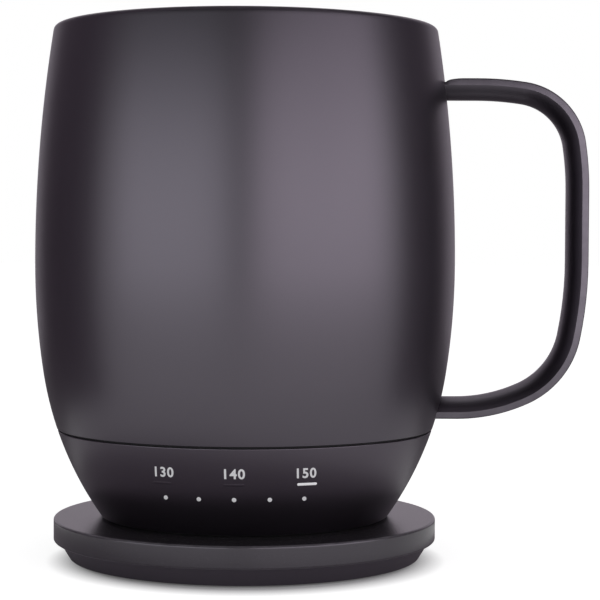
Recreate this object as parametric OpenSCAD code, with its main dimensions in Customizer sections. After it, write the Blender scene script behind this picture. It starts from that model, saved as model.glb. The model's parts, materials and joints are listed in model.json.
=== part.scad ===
// Self-heating mug standing on its charging coaster, in millimetres.
// The origin is the centre of the coaster's underside, on the mug's axis, with +Z up.
// The handle points along +X, the light points face -Y, and the cord gland faces +Y.

/* [Mug body] */
// Height of the mug from its foot to its lip
mug_h = 107.8; // [102:0.1:114]
// Outer radius at the widest height
belly_r = 46.3; // [44.5:0.1:49]
// Height of the widest place above the foot
belly_z = 55.8; // [52:0.1:60]
// Radius of the wall's curve above the widest place
upper_arc_r = 326; // [290:1:380]
// Radius of the wall's curve just below the widest place
lower_arc_r = 158; // [145:1:180]
// Radius of the wall's curve towards the foot
foot_arc_r = 74.5; // [70:0.5:84]
// Height where the curve towards the foot begins
foot_arc_z = 32; // [29:0.5:36]
// Thickness of the outer shell
shell_t = 0.8; // [0.6:0.1:1.2]
// Thickness of the shell's inward rim at the lip
rim_t = 1.0; // [0.8:0.1:1.5]
// Rounding of the lip's outer edge
lip_round = 1.2; // [0.6:0.1:2]
// Air gap between the outer shell and the inner cup
wall_gap = 2.6; // [1.8:0.1:3.2]
// Thickness of the inner cup
cup_t = 0.8; // [0.6:0.1:1.2]
// Outer corner radius at the bottom of the inner cup
cup_corner_r = 8; // [6:0.5:10]
// Inner radius of the straight mouth that takes a lid
mouth_r = 38.2; // [37:0.1:39]
// Height of the straight mouth
mouth_h = 7.8; // [5:0.1:10]
// Height of the slope between the mouth and the barrel
mouth_slope_h = 3; // [2:0.5:5]

/* [Handle] */
// Width of the handle strap
handle_w = 12; // [9:0.5:15]
// Thickness of the strap's flat edge
handle_band = 1.5; // [1.2:0.1:2.4]
// Depth of the strap's rounded inner side
handle_depth = 3; // [2:0.1:4]
// Chamfer along the strap's outer edges
handle_chamfer = 0.35; // [0.2:0.05:0.6]
// Drop from the lip to the top bar, at the wall
handle_drop = 12.7; // [11:0.1:18]
// Fall of the top bar away from the wall in degrees
handle_fall = 0; // [0:0.1:6]
// Reach of the upright bar beyond the widest place of the body
handle_reach = 27.3; // [24:0.1:32]
// Bend radius at the upper corner
handle_top_r = 14.1; // [13:0.1:20]
// Bend radius where the upper corner begins and ends
handle_ease_r = 67; // [40:1:80]
// Turn of each of those two bends in degrees
handle_ease_turn = 8.8; // [6:0.1:10]
// Length of the straight upright bar
handle_straight = 15.5; // [10:0.1:20]
// Bend radius of the long lower curve
handle_lower_r = 84.8; // [70:0.1:120]
// Turn of the long lower curve in degrees
handle_lower_turn = 11.3; // [7:0.1:13]
// Bend radius at the lower corner
handle_bottom_r = 18.4; // [17:0.1:24]
// Turn of the lower corner in degrees
handle_bottom_turn = 53.8; // [48:0.1:60]
// Bend radius of the lower bar, up to the wall
handle_tail_r = 35.8; // [30:0.1:60]
// Turn of the lower bar in degrees
handle_tail_turn = 24.8; // [18:0.1:28]

/* [Mug base] */
// Height of the base shell's upper edge above the foot
base_h = 19.4; // [18.4:0.1:20.4]
// Wall thickness of the base shell
base_wall = 2.2; // [1.6:0.1:2.6]
// Floor thickness of the base shell
base_floor_t = 2.0; // [1.8:0.1:2.6]
// Thickness of the seal in the seam
seam_t = 0.4; // [0.3:0.05:0.8]
// Depth of the seal below the outer surface
seam_depth = 0.4; // [0.2:0.05:0.8]
// Width of the seal in the seam
seam_w = 2.0; // [1.4:0.1:2.4]
// Height that the foot ring stands proud of the base
foot_proud = 0.4; // [0.3:0.05:0.6]
// Thickness of the foot ring
foot_ring_t = 1.2; // [1:0.1:1.4]
// Width of the foot ring
foot_ring_w = 3.0; // [2.6:0.1:3.4]
// Distance from the base's lower edge to the foot ring
foot_ring_inset = 1.2; // [1:0.1:1.6]
// Thread radius of the screws that hold the base
base_screw_r = 1.0; // [0.8:0.05:1.2]
// Head radius of the screws that hold the base
base_screw_head_r = 2.0; // [1.7:0.05:2.3]
// Head height of the screws that hold the base
base_screw_head_h = 1.3; // [1:0.05:1.5]
// Length of the screws that hold the base, below the head
base_screw_l = 6.9; // [6:0.1:7.4]
// Radius of the screw bosses in the base
base_boss_r = 3.2; // [3:0.1:3.5]
// Height of the screw bosses above the base's floor
base_boss_h = 3.1; // [2.6:0.1:3.4]

/* [Bottom cover and contacts] */
// Height of the cover's face above the base's lower edge
cover_recess = 0.4; // [0.3:0.05:0.6]
// Thickness of the cover's flange
cover_flange_t = 1.2; // [1:0.1:1.5]
// Width of the cover's flange on the base's floor
cover_lap = 3.0; // [2.6:0.1:3.2]
// Thickness of the cover's seal
cover_seal_t = 0.4; // [0.3:0.05:0.6]
// Width of the cover's seal
cover_seal_w = 1.6; // [1.2:0.1:2]
// Middle radius of the inner contact ring
contact_inner_r = 11.5; // [10.5:0.1:12.5]
// Middle radius of the outer contact ring
contact_outer_r = 19.0; // [18:0.1:19.8]
// Width of a contact ring
contact_w = 3.0; // [2.4:0.1:3.4]
// Thickness of a contact ring
contact_t = 0.6; // [0.4:0.05:0.8]
// Radius of the posts from the rings to the board
contact_post_r = 0.6; // [0.4:0.05:0.8]

/* [Power button] */
// Radius of the button
button_r = 5; // [4.5:0.1:6]
// Travel of the button
button_travel = 0.6; // [0.4:0.05:0.8]
// Running clearance round the button
button_fit = 0.06; // [0.04:0.01:0.1]
// Height of the button's face above the cover's face
button_recess = 0.2; // [0.1:0.05:0.4]
// Width of the button's flange
button_flange_w = 1.2; // [1:0.1:1.6]
// Thickness of the button's flange
button_flange_t = 1.0; // [0.8:0.1:1.4]
// Wall of the silicone boot above the button
boot_t = 0.9; // [0.6:0.1:1]
// Width of the push switch
switch_w = 6; // [5:0.1:6.4]
// Height of the push switch
switch_h = 3.1; // [2.6:0.1:3.6]
// Radius of the switch's plunger
plunger_r = 1.5; // [1.2:0.1:1.8]
// Height of the plunger outside the switch
plunger_h = 1.0; // [0.9:0.1:1.4]
// Height of the plunger inside the switch
plunger_hidden_h = 0.6; // [0.4:0.1:0.8]

/* [Main board] */
// Thickness of the main board
board_t = 1.0; // [0.8:0.1:1.6]
// Free height above the main board for its chips
chip_room = 1.6; // [1.5:0.1:2]
// Radius of the circle of board screws
board_screw_ring_r = 16; // [14.5:0.1:16.5]
// Thread radius of the board screws
board_screw_r = 0.8; // [0.6:0.05:1]
// Head radius of the board screws
board_screw_head_r = 1.5; // [1.2:0.05:1.8]
// Head height of the board screws
board_screw_head_h = 0.8; // [0.6:0.05:1]
// Length of the board screws below the head
board_screw_l = 4.0; // [3:0.1:4.5]
// Radius of the stand-offs under the board
standoff_r = 1.9; // [1.6:0.1:2.2]
// Width of the large chips
chip_w = 6.6; // [5:0.1:7]
// Width of the small chips
chip_small_w = 3.6; // [2:0.1:4.4]
// Height of the chips
chip_h = 1.2; // [0.8:0.1:1.4]

/* [Battery and heater] */
// Wall and plate thickness of the chassis
chassis_t = 1.2; // [1:0.1:1.5]
// Gap between the chassis and the base shell
chassis_clear = 1.1; // [0.8:0.1:1.6]
// Radius of the chassis posts
chassis_post_r = 3.0; // [2.6:0.1:3.2]
// Thickness of a battery cell
cell_t = 8; // [7:0.1:9]
// Width of a battery cell
cell_w = 20; // [17:0.1:21]
// Gap between the two battery cells
cell_gap = 1.0; // [0.6:0.1:2]
// Gap from the cells' corners to the chassis wall
cell_clear = 2.4; // [2:0.1:3]
// Thickness of the battery's protection board
guard_board_t = 0.6; // [0.5:0.05:0.8]
// Thickness of the insulation disc
insulation_t = 3.9; // [3.4:0.1:5]
// Thickness of the heater film
film_t = 0.3; // [0.2:0.05:0.5]
// Radius of the heat spreader
spreader_r = 29.5; // [26:0.1:30]
// Thickness of the heat spreader
spreader_t = 1.2; // [0.8:0.1:1.6]
// Margin from the spreader's edge to the heater film
film_margin = 1.0; // [0.5:0.1:2]
// Radius of the temperature sensor
sensor_r = 1.4; // [1:0.1:1.6]
// Height of the temperature sensor
sensor_h = 1.9; // [1.5:0.1:2.4]
// Radius of the heater and battery leads
lead_r = 0.6; // [0.4:0.05:0.7]
// Radius of the sensor's leads
sensor_lead_r = 0.3; // [0.2:0.05:0.35]

/* [Lights] */
// Radius of a round light guide
dot_r = 0.47; // [0.3:0.01:0.6]
// Height of the round light guides above the foot
dot_z = 8.5; // [7.8:0.1:9]
// Angle between neighbouring light guides
dot_pitch = 11.35; // [9:0.05:12]
// Length of a light bar
bar_w = 4.3; // [3:0.1:5]
// Height of a light bar
bar_h = 0.55; // [0.4:0.05:0.8]
// Height of the light bars above the foot
bar_z = 11.7; // [11.4:0.1:12.4]
// Thickness of the flexible light board
flex_t = 0.3; // [0.2:0.05:0.4]
// Height of the flexible light board
flex_h = 8.0; // [7.5:0.1:9]
// Thickness of a light
led_t = 0.7; // [0.5:0.05:0.8]
// Width of a light
led_w = 1.6; // [1.2:0.1:2]
// Height of a light
led_h = 1.0; // [0.8:0.1:1.4]

/* [Coaster] */
// Outer radius of the coaster
coaster_r = 42.3; // [41:0.1:45]
// Height of the coaster's upper face
coaster_h = 9.1; // [8.9:0.1:10.6]
// Thickness of the upper plate and its skirt
coaster_wall = 1.6; // [1.4:0.1:1.8]
// Rounding of the upper edge
coaster_edge_r = 0.5; // [0.3:0.05:0.8]
// Chamfer along the lower edge of the coaster's upright side
skirt_chamfer = 0.2; // [0.1:0.05:0.4]
// Height of the parting line between the upper plate and the tray
parting_z = 4.2; // [3.8:0.1:4.6]
// How far the tray slants in from the skirt to the table
tray_taper = 3.5; // [3:0.1:4.4]
// Floor thickness of the tray
tray_floor_t = 1.8; // [1.6:0.1:2]
// Radius of the foot pad
pad_r = 36; // [34:0.1:37]
// Thickness of the foot pad
pad_t = 1.2; // [1:0.1:1.4]
// Height that the foot pad stands proud of the tray
pad_proud = 0.4; // [0.3:0.05:0.6]
// Wall of the tray's locating lip
lip_t = 1.3; // [1:0.1:1.6]
// Height of the tray's locating lip above the parting line
lip_h = 1.8; // [1.2:0.1:2]
// Clearance between the lip and the skirt
lip_fit = 0.2; // [0.1:0.05:0.3]
// Radius of the circle of coaster screws
coaster_screw_ring_r = 34; // [32:0.1:35]
// Thread radius of the coaster screws
coaster_screw_r = 0.9; // [0.7:0.05:1.1]
// Head radius of the coaster screws
coaster_screw_head_r = 1.9; // [1.6:0.05:2.1]
// Length of the coaster screws below the head
coaster_screw_l = 3.8; // [3:0.1:4]
// Radius of the screw bosses in the coaster
coaster_boss_r = 2.9; // [2.6:0.1:3.2]
// Height of the tray's screw bosses
coaster_boss_h = 1.2; // [1:0.1:1.4]
// Radius of the coaster's board
coaster_board_r = 25; // [23:0.1:27]
// Thickness of the coaster's board
coaster_board_t = 1.0; // [0.8:0.1:1.2]
// Height of the stand-offs under the coaster's board
coaster_standoff_h = 0.8; // [0.6:0.1:1]

/* [Charge pins] */
// Travel of a charge pin
pin_travel = 0.7; // [0.5:0.05:0.75]
// Radius of a pin's tip
pin_r = 0.55; // [0.45:0.01:0.6]
// Radius of a pin's shoulder
pin_shoulder_r = 0.8; // [0.75:0.01:0.9]
// Height of a pin's shoulder
pin_shoulder_h = 1.1; // [0.9:0.05:1.2]
// Running clearance round a pin
pin_fit = 0.05; // [0.03:0.01:0.08]
// Wall of a pin's barrel
barrel_wall = 0.35; // [0.3:0.05:0.5]
// Thickness of the barrel's closed end
barrel_end_t = 0.4; // [0.3:0.05:0.5]
// Thickness of the barrel's collar
barrel_collar_t = 0.5; // [0.4:0.05:0.6]
// Depth of the barrel's collar below the coaster's upper face
barrel_sunk = 0.4; // [0.3:0.05:0.6]
// Wire radius of a pin's spring
spring_wire_r = 0.1; // [0.08:0.01:0.12]
// Turns in a pin's spring
spring_turns = 4; // [3:1:5]

/* [Cord gland] */
// Radius of the hole for the cord
gland_bore_r = 1.5; // [1.2:0.05:1.6]
// Radius of the gland where it passes through the wall
gland_neck_r = 1.9; // [1.8:0.05:2]
// Radius of the gland's flanges
gland_flange_r = 2.2; // [2.1:0.05:2.25]
// Thickness of the gland's flanges
gland_flange_t = 1.2; // [0.8:0.1:1.6]

/* [Hidden] */
$fn = 96;
// Facets of a full circle at the wall's large radii
arc_fn = 360;
// Flats across the strap's rounded side, and degrees of bend between its rings
handle_arc_steps = 10;
handle_bend_step = 6;
// Small overlap that lets a cut pass a face
cut = 1;
// Seats that are cut with a little air
seat_gap = 0.1;
// Clearance of a screw's shank in its passing hole
shank_clear = 0.2;
// Angles of the screws and posts
quarter_turns = [45, 135, 225, 315];
// Places of the lights, counted from the left
dot_places = [0:4];
unlit_bar_places = [0, 2];
lit_bar_place = 4;
middle_place = 2;

// Centres of the barrel's arcs, each tangent to the next
lower_c = [belly_r - lower_arc_r, belly_z];
join_x = lower_c.x + sqrt(lower_arc_r ^ 2 - (foot_arc_z - belly_z) ^ 2);
join_dir = [(join_x - lower_c.x) / lower_arc_r, (foot_arc_z - belly_z) / lower_arc_r];
foot_c = [join_x - join_dir.x * foot_arc_r, foot_arc_z - join_dir.y * foot_arc_r];

// Heights in the mug, counted from its foot
base_low_z = foot_proud;
base_floor_z = base_low_z + base_floor_t;
cover_face_z = base_low_z + cover_recess;
button_face_z = cover_face_z + button_recess;
button_top_z = base_floor_z + button_flange_t;
switch_low_z = button_top_z + plunger_h;
board_z = switch_low_z + switch_h;
board_top_z = board_z + board_t;
chassis_z = board_top_z + chip_room;
chassis_floor_z = chassis_z + chassis_t;
cell_top_z = chassis_floor_z + cell_t;
insulation_top_z = cell_top_z + insulation_t;
film_top_z = insulation_top_z + film_t;
cup_under_z = film_top_z + spreader_t;
cup_floor_z = cup_under_z + cup_t;
shell_low_z = base_h + seam_t;
mouth_z = mug_h - mouth_h;
mouth_slope_z = mouth_z - mouth_slope_h;

// Radii in the mug
cup_out_inset = shell_t + wall_gap;
cup_in_inset = cup_out_inset + cup_t;
neck_r = mouth_r + cup_t;
foot_ring_out_r = barrel_r(base_low_z) - foot_ring_inset;
foot_ring_in_r = foot_ring_out_r - foot_ring_w;
base_screw_ring_r = (foot_ring_out_r + foot_ring_in_r) / 2;
cover_flange_clear = 0.3;
cover_flange_r = base_screw_ring_r - base_boss_r - cover_flange_clear;
cover_r = cover_flange_r - cover_lap;
cover_fit = 0.2;
cover_root_w = 1.6;
cover_flange_in_r = cover_r - cover_root_w;
seal_out_r = cover_flange_r - (cover_lap - cover_fit - cover_seal_w) / 2;
button_flange_r = button_r + button_flange_w;
board_clear = 0.6;
board_r = base_screw_ring_r - chassis_post_r - board_clear;
chip_edge = 4;
chassis_r = barrel_r(chassis_z, base_wall) - chassis_clear;
chassis_in_r = chassis_r - chassis_t;
boss_top_z = base_floor_z + base_boss_h;
screw_seat_z = foot_ring_t + seat_gap + base_screw_head_h;
lead_edge_gap = 0.3;
lead_ring_r = board_r - lead_r - lead_edge_gap;
// Angles that set the spread of the heater leads and of the battery leads
heater_lead_turn = 14;
battery_lead_turn = 7;
sensor_edge = 3.9;
sensor_ring_r = spreader_r - film_margin - sensor_edge;

// Battery pack, with the heater leads in front of it and its own leads behind it
cell_middle_x = (cell_gap + cell_w) / 2;
cell_out_x = cell_gap / 2 + cell_w;
tab_l = 0.4;
tab_w = 3;
tab_h = 2.5;
tab_pitch = 5;
cell_half_l = sqrt((chassis_in_r - cell_clear) ^ 2 - cell_out_x ^ 2);
guard_y = cell_half_l + tab_l;
guard_w = 30;
guard_margin = 1;
guard_h = cell_t - guard_margin;
heater_lead_gap = 0.8;
battery_lead_gap = 0.35;
heater_lead_x = lead_ring_r * sin(heater_lead_turn);
heater_lead_y = cell_half_l + heater_lead_gap + lead_r;
battery_lead_x = lead_ring_r * sin(battery_lead_turn);
battery_lead_y = guard_y + guard_board_t + battery_lead_gap + lead_r;

// Radius where the light paths start, inside the base's wall
light_start_r = barrel_r(dot_z, base_wall) - 2 * cut;

// Heights in the coaster, counted from the table
tray_low_z = pad_proud;
pad_seat_z = pad_t;
tray_floor_z = pad_seat_z + tray_floor_t;
plate_z = coaster_h - coaster_wall;
coaster_boss_z = tray_floor_z + coaster_boss_h;
coaster_board_z = tray_floor_z + coaster_standoff_h;
coaster_board_top_z = coaster_board_z + coaster_board_t;
skirt_in_r = coaster_r - coaster_wall;
lip_out_r = skirt_in_r - lip_fit;
lip_in_r = lip_out_r - lip_t;
tray_step = 1;
tray_rim_r = coaster_r - skirt_chamfer - tray_step;
tray_foot_r = coaster_r - tray_taper;
peg_r = 0.8;
peg_base_r = 1.6;
peg_inset = 3;
coaster_chip_inset = 10;

// Charge pins, each standing under its contact ring
pin_places = [contact_inner_r, contact_outer_r];
pin_tip_z = coaster_h + cover_face_z;
barrel_in_r = pin_shoulder_r + pin_fit;
barrel_out_r = barrel_in_r + barrel_wall;
barrel_top_z = coaster_h - barrel_sunk;
collar_z = barrel_top_z - barrel_collar_t;
shoulder_gap = 0.05;
shoulder_top_z = collar_z - shoulder_gap;
shoulder_z = shoulder_top_z - pin_shoulder_h;
barrel_floor_z = coaster_board_top_z + barrel_end_t;
spring_side_gap = 0.25;
spring_coil_r = barrel_in_r - spring_wire_r - spring_side_gap;
pin_block_margin = 2;
pin_hole_gap = 0.1;

// Cord gland, halfway between the tray's floor and the upper plate
gland_z = (tray_floor_z + plate_z) / 2;
gland_seat_gap = 0.4;
gland_in_y = lip_in_r - gland_seat_gap - gland_flange_t;
gland_out_y = coaster_r + gland_flange_t;

// Height where the two lower arcs meet, on a surface at some depth in the wall
function join_z(inset) = foot_arc_z - join_dir.y * inset;

// Radius of the barrel at a height, at some depth in the wall
function barrel_r(z, inset = 0) =
  z >= belly_z ? belly_r - upper_arc_r + sqrt((upper_arc_r - inset) ^ 2 - (z - belly_z) ^ 2)
  : z >= join_z(inset) ? lower_c.x + sqrt((lower_arc_r - inset) ^ 2 - (z - belly_z) ^ 2)
  : foot_c.x + sqrt((foot_arc_r - inset) ^ 2 - (z - foot_c.y) ^ 2);

// Half outline of the barrel between two heights, at some depth in the wall
module barrel_2d(inset, low, high) {
  join = join_z(inset);
  if (high > belly_z) {
    start = max(low, belly_z);
    arc_2d([belly_r - upper_arc_r, belly_z], upper_arc_r - inset, start, high);
  }
  if (high > join && low < belly_z) {
    start = max(low, join);
    arc_2d(lower_c, lower_arc_r - inset, start, min(high, belly_z));
  }
  if (low < join) {
    arc_2d(foot_c, foot_arc_r - inset, low, min(high, join));
  }
}

// Slice of a disc between two heights, right of the axis
module arc_2d(centre, radius, low, high) {
  intersection() {
    translate(centre) circle(radius, $fn = arc_fn);
    translate([0, low]) square([belly_r + cut, high - low]);
  }
}

// Solid of the barrel between two heights
module barrel_solid(inset, low, high) {
  rotate_extrude() barrel_2d(inset, low, high);
}

// Ring of wall between two depths and two heights
module wall_band(outer_inset, inner_inset, low, high) {
  rotate_extrude() wall_band_2d(outer_inset, inner_inset, low, high);
}

// Half outline of a ring of wall
module wall_band_2d(outer_inset, inner_inset, low, high) {
  difference() {
    barrel_2d(outer_inset, low, high);
    barrel_2d(inner_inset, low - cut, high + cut);
  }
}

// Flat ring lying at a height
module flat_ring(out_r, in_r, low, high) {
  translate([0, 0, low]) difference() {
    cylinder(r = out_r, h = high - low);
    translate([0, 0, -cut]) cylinder(r = in_r, h = high - low + 2 * cut);
  }
}

// Upright rod between two heights
module rod(radius, low, high) {
  translate([0, 0, low]) cylinder(r = radius, h = high - low);
}

// Places its children round a circle at the given angles
module around(radius, angles) {
  for (angle = angles) rotate(angle) translate([radius, 0, 0]) children();
}

// Lifts the mug's pieces onto the coaster
module on_coaster() {
  translate([0, 0, coaster_h]) children();
}

// Turns a shape that lies along +X to a light's place on the front
module at_light(index, height) {
  rotate(-90 + (index - middle_place) * dot_pitch) translate([0, 0, height]) children();
}

// Round light path through the base's wall
module dot_path() {
  translate([light_start_r, 0, 0]) rotate([0, 90, 0])
    cylinder(r = dot_r, h = belly_r - light_start_r, $fn = 32);
}

// Bar-shaped light path through the base's wall
module bar_path() {
  translate([light_start_r, 0, 0]) rotate([90, 0, 90]) linear_extrude(belly_r - light_start_r) {
    square([bar_w - bar_h, bar_h], center = true);
    for (side = [-1, 1]) translate([side * (bar_w - bar_h) / 2, 0]) circle(bar_h / 2, $fn = 32);
  }
}

// Quarter of a disc in the given corner
module quarter_2d(radius, side_x, side_y) {
  intersection() {
    circle(radius);
    translate([side_x < 0 ? -radius : 0, side_y < 0 ? -radius : 0]) square(radius);
  }
}

// Sub-parts of the mug body

module outer_shell() {
  edge_z = mug_h - lip_round;
  edge_x = barrel_r(edge_z) - lip_round;
  color("#3b393d") on_coaster() rotate_extrude() difference() {
    union() {
      barrel_2d(0, shell_low_z, edge_z);
      translate([0, edge_z]) square([edge_x, lip_round]);
      translate([edge_x, edge_z]) quarter_2d(lip_round, 1, 1);
    }
    barrel_2d(shell_t, shell_low_z - cut, mug_h - rim_t);
    translate([0, mug_h - rim_t - cut]) square([neck_r, rim_t + 2 * cut]);
  }
}

// Half outline of the cup's outer or inner face
module cup_2d(inset, floor_z, corner_r, mouth, top) {
  corner_z = floor_z + corner_r;
  corner_x = barrel_r(corner_z, inset) - corner_r;
  barrel_2d(inset, corner_z, mouth_slope_z);
  translate([0, floor_z]) square([corner_x, corner_r]);
  translate([corner_x, corner_z]) quarter_2d(corner_r, 1, -1);
  polygon([
    [0, mouth_slope_z],
    [barrel_r(mouth_slope_z, inset), mouth_slope_z],
    [mouth, mouth_z],
    [mouth, top],
    [0, top]
  ]);
}

module inner_cup() {
  color("#b9b8b6") on_coaster() rotate_extrude() difference() {
    cup_2d(cup_out_inset, cup_under_z, cup_corner_r, neck_r, mug_h);
    cup_2d(cup_in_inset, cup_floor_z, cup_corner_r - cup_t, mouth_r, mug_h + cut);
  }
}

// Faces of a tube that joins rings of points, closed at both ends
function tube_faces(rings, sides) =
  let (last = (rings - 1) * sides)
  concat(
    [for (ring = [0:rings - 2], side = [0:sides - 1])
      let (a = ring * sides + side,
        b = ring * sides + (side + 1) % sides)
      each [[a, b, b + sides], [a, b + sides, a + sides]]],
    [for (side = [1:sides - 2])
      each [[0, side + 1, side], [last, last + side, last + side + 1]]]
  );

// Section of the strap as [outward, across] points, flat outside and round inside
function handle_section() =
  let (half = handle_w / 2,
    inner_r = (half ^ 2 + handle_depth ^ 2) / (2 * handle_depth),
    spread = asin(half / inner_r),
    steps = handle_arc_steps)
  concat(
    [[handle_band - handle_chamfer, -half],
      [handle_band, handle_chamfer - half],
      [handle_band, half - handle_chamfer],
      [handle_band - handle_chamfer, half]],
    [for (step = [0:steps])
      let (angle = spread - 2 * spread * step / steps)
      [inner_r - handle_depth - inner_r * cos(angle), inner_r * sin(angle)]]
  );

// Place [x, z, heading] at the end of a step [length, radius, turn] that runs on or turns down
function after_step(place, step) =
  let (heading = place[2] - step[2])
  step[2] == 0
  ? [place.x + step[0] * cos(heading), place.y + step[0] * sin(heading), heading]
  : [place.x + step[1] * (sin(place[2]) - sin(heading)),
    place.y - step[1] * (cos(place[2]) - cos(heading)), heading];

// Places along a list of steps, close enough together to keep the bends round
function strap_places(place, steps, index = 0) =
  index == len(steps) ? [place]
  : let (step = steps[index],
      count = ceil(max(1, step[2] / handle_bend_step)))
    concat(
      [for (part = [0:count - 1])
        part == 0 ? place : after_step(place, [step[0], step[1], step[2] * part / count])],
      strap_places(after_step(place, step), steps, index + 1)
    );

module handle() {
  root_depth = 12;
  root_x = belly_r - root_depth;
  wall_x = barrel_r(mug_h - handle_drop, 0);
  root_z = mug_h - handle_drop + (wall_x - root_x) * tan(handle_fall);
  corner = [
    [0, handle_ease_r, handle_ease_turn],
    [0, handle_top_r, 90 - handle_fall - 2 * handle_ease_turn],
    [0, handle_ease_r, handle_ease_turn]
  ];
  corner_places = strap_places([0, 0, -handle_fall], corner);
  corner_w = corner_places[len(corner_places) - 1].x;
  top_l = (belly_r + handle_reach - corner_w - root_x) / cos(handle_fall);
  tail_l = 30;
  steps = concat([[top_l, 0, 0]], corner, [
    [handle_straight, 0, 0],
    [0, handle_lower_r, handle_lower_turn],
    [0, handle_bottom_r, handle_bottom_turn],
    [0, handle_tail_r, handle_tail_turn],
    [tail_l, 0, 0]
  ]);
  places = strap_places([root_x, root_z, -handle_fall], steps);
  section = handle_section();
  points = [for (place = places, point = section)
    [place.x - point.x * sin(place[2]), point.y, place.y + point.x * cos(place[2])]];
  color("#3b393d") on_coaster() difference() {
    polyhedron(points, tube_faces(len(places), len(section)));
    barrel_solid(0, 0, mug_h);
  }
}

module seam_gasket() {
  color("#141316") on_coaster()
    wall_band(seam_depth, seam_depth + seam_w, base_h, shell_low_z);
}

// Sub-parts of the mug base

module base_shell() {
  color("#38363a") on_coaster() difference() {
    union() {
      rotate_extrude() difference() {
        barrel_2d(0, base_low_z, base_h);
        barrel_2d(base_wall, base_floor_z, base_h + cut);
        translate([0, base_low_z - cut]) square([cover_r + cover_fit, base_floor_t + 2 * cut]);
      }
      intersection() {
        around(base_screw_ring_r, quarter_turns) rod(base_boss_r, base_low_z, boss_top_z);
        wall_band(base_wall / 2, barrel_r(base_low_z) - cover_flange_r, base_low_z, boss_top_z);
      }
    }
    flat_ring(foot_ring_out_r, foot_ring_in_r, 0, foot_ring_t);
    flat_ring(seal_out_r, seal_out_r - cover_seal_w, base_floor_z - cover_seal_t,
      base_floor_z + seat_gap);
    around(base_screw_ring_r, quarter_turns) {
      rod(base_screw_head_r + seat_gap, 0, screw_seat_z);
      rod(base_screw_r + shank_clear, 0, boss_top_z + cut);
    }
    for (index = dot_places) at_light(index, dot_z) dot_path();
    for (index = concat(unlit_bar_places, lit_bar_place)) at_light(index, bar_z) bar_path();
  }
}

module foot_ring() {
  color("#19181b") on_coaster() flat_ring(foot_ring_out_r, foot_ring_in_r, 0, foot_ring_t);
}

module base_screws() {
  color("#9a9a9c") on_coaster() around(base_screw_ring_r, quarter_turns) {
    difference() {
      rod(base_screw_head_r, screw_seat_z - base_screw_head_h, screw_seat_z);
      screw_cross(base_screw_head_r, screw_seat_z - base_screw_head_h);
    }
    rod(base_screw_r, screw_seat_z, screw_seat_z + base_screw_l);
  }
}

// Cross recess in the underside of a screw head
module screw_cross(head_r, low) {
  slot_w = 0.35 * head_r;
  slot_l = 1.2 * head_r;
  slot_depth = 0.3 * head_r;
  for (turn = [0, 90]) rotate(turn) translate([-slot_l / 2, -slot_w / 2, low - cut])
    cube([slot_l, slot_w, slot_depth + cut]);
}

module bottom_cover() {
  color("#232226") on_coaster() difference() {
    union() {
      rod(cover_r, cover_face_z, base_floor_z);
      flat_ring(cover_flange_r, cover_flange_in_r, base_floor_z - seat_gap,
        base_floor_z + cover_flange_t);
      around(board_screw_ring_r, quarter_turns) rod(standoff_r, base_floor_z - seat_gap, board_z);
    }
    flat_ring(cover_flange_r + cut, cover_r, base_floor_z - cut, base_floor_z);
    rod(button_r + button_fit, 0, base_floor_z + cut);
    for (place = pin_places) {
      flat_ring(place + contact_w / 2, place - contact_w / 2, 0, cover_face_z + contact_t);
      translate([0, place, 0]) rod(contact_post_r, 0, base_floor_z + cover_flange_t + cut);
    }
    around(board_screw_ring_r, quarter_turns)
      rod(board_screw_r, board_top_z - board_screw_l, board_z + cut);
  }
}

module bottom_seal() {
  color("#8a2f2a") on_coaster()
    flat_ring(seal_out_r, seal_out_r - cover_seal_w, base_floor_z - cover_seal_t, base_floor_z);
}

// Contact ring let into the cover's face
module contact_ring(middle_r) {
  color("#c9a24a") on_coaster()
    flat_ring(middle_r + contact_w / 2, middle_r - contact_w / 2, cover_face_z, cover_face_z + contact_t);
}

module contact_ring_inner() {
  contact_ring(contact_inner_r);
}

module contact_ring_outer() {
  contact_ring(contact_outer_r);
}

module contact_posts() {
  color("#c9a24a") on_coaster() for (place = pin_places)
    translate([0, place, 0]) rod(contact_post_r, cover_face_z + contact_t, board_z);
}

// Sub-parts of the power button

module power_button() {
  color("#4a484d") on_coaster() {
    rod(button_r, button_face_z, base_floor_z);
    rod(button_flange_r, base_floor_z, button_top_z);
  }
}

module switch_plunger() {
  color("#d8d4cb") on_coaster() rod(plunger_r, button_top_z, switch_low_z + plunger_hidden_h);
}

module tact_switch() {
  well_top_z = switch_low_z + plunger_hidden_h + button_travel + 2 * seat_gap;
  color("#1c1c1f") on_coaster() difference() {
    translate([-switch_w / 2, -switch_w / 2, switch_low_z]) cube([switch_w, switch_w, switch_h]);
    rod(plunger_r + button_fit, switch_low_z - cut, well_top_z);
  }
}

module button_boot() {
  color("#5d5a60") on_coaster()
    flat_ring(button_flange_r, button_flange_r - boot_t, button_top_z, board_z);
}

// Sub-parts of the main board

module main_board() {
  color("#1f4a34") on_coaster() difference() {
    rod(board_r, board_z, board_top_z);
    around(board_screw_ring_r, quarter_turns)
      rod(board_screw_r + shank_clear, board_z - cut, board_top_z + cut);
  }
}

module board_screws() {
  color("#9a9a9c") on_coaster() around(board_screw_ring_r, quarter_turns) {
    rod(board_screw_head_r, board_top_z, board_top_z + board_screw_head_h);
    rod(board_screw_r, board_top_z - board_screw_l, board_top_z);
  }
}

// Chip of a given size standing on a board
module chip(size) {
  translate([-size.x / 2, -size.y / 2, 0]) cube(size);
}

module board_chips() {
  color("#17171a") on_coaster() translate([0, 0, board_top_z]) {
    chip([chip_w, chip_w, chip_h]);
    around(board_screw_ring_r, [0, 90, 180, 270]) chip([chip_small_w, chip_w, chip_h]);
    around(board_r - chip_edge, [20, 160, 200]) chip([chip_small_w, chip_small_w, chip_h]);
  }
}

// Sub-parts of the battery and the heater

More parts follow.
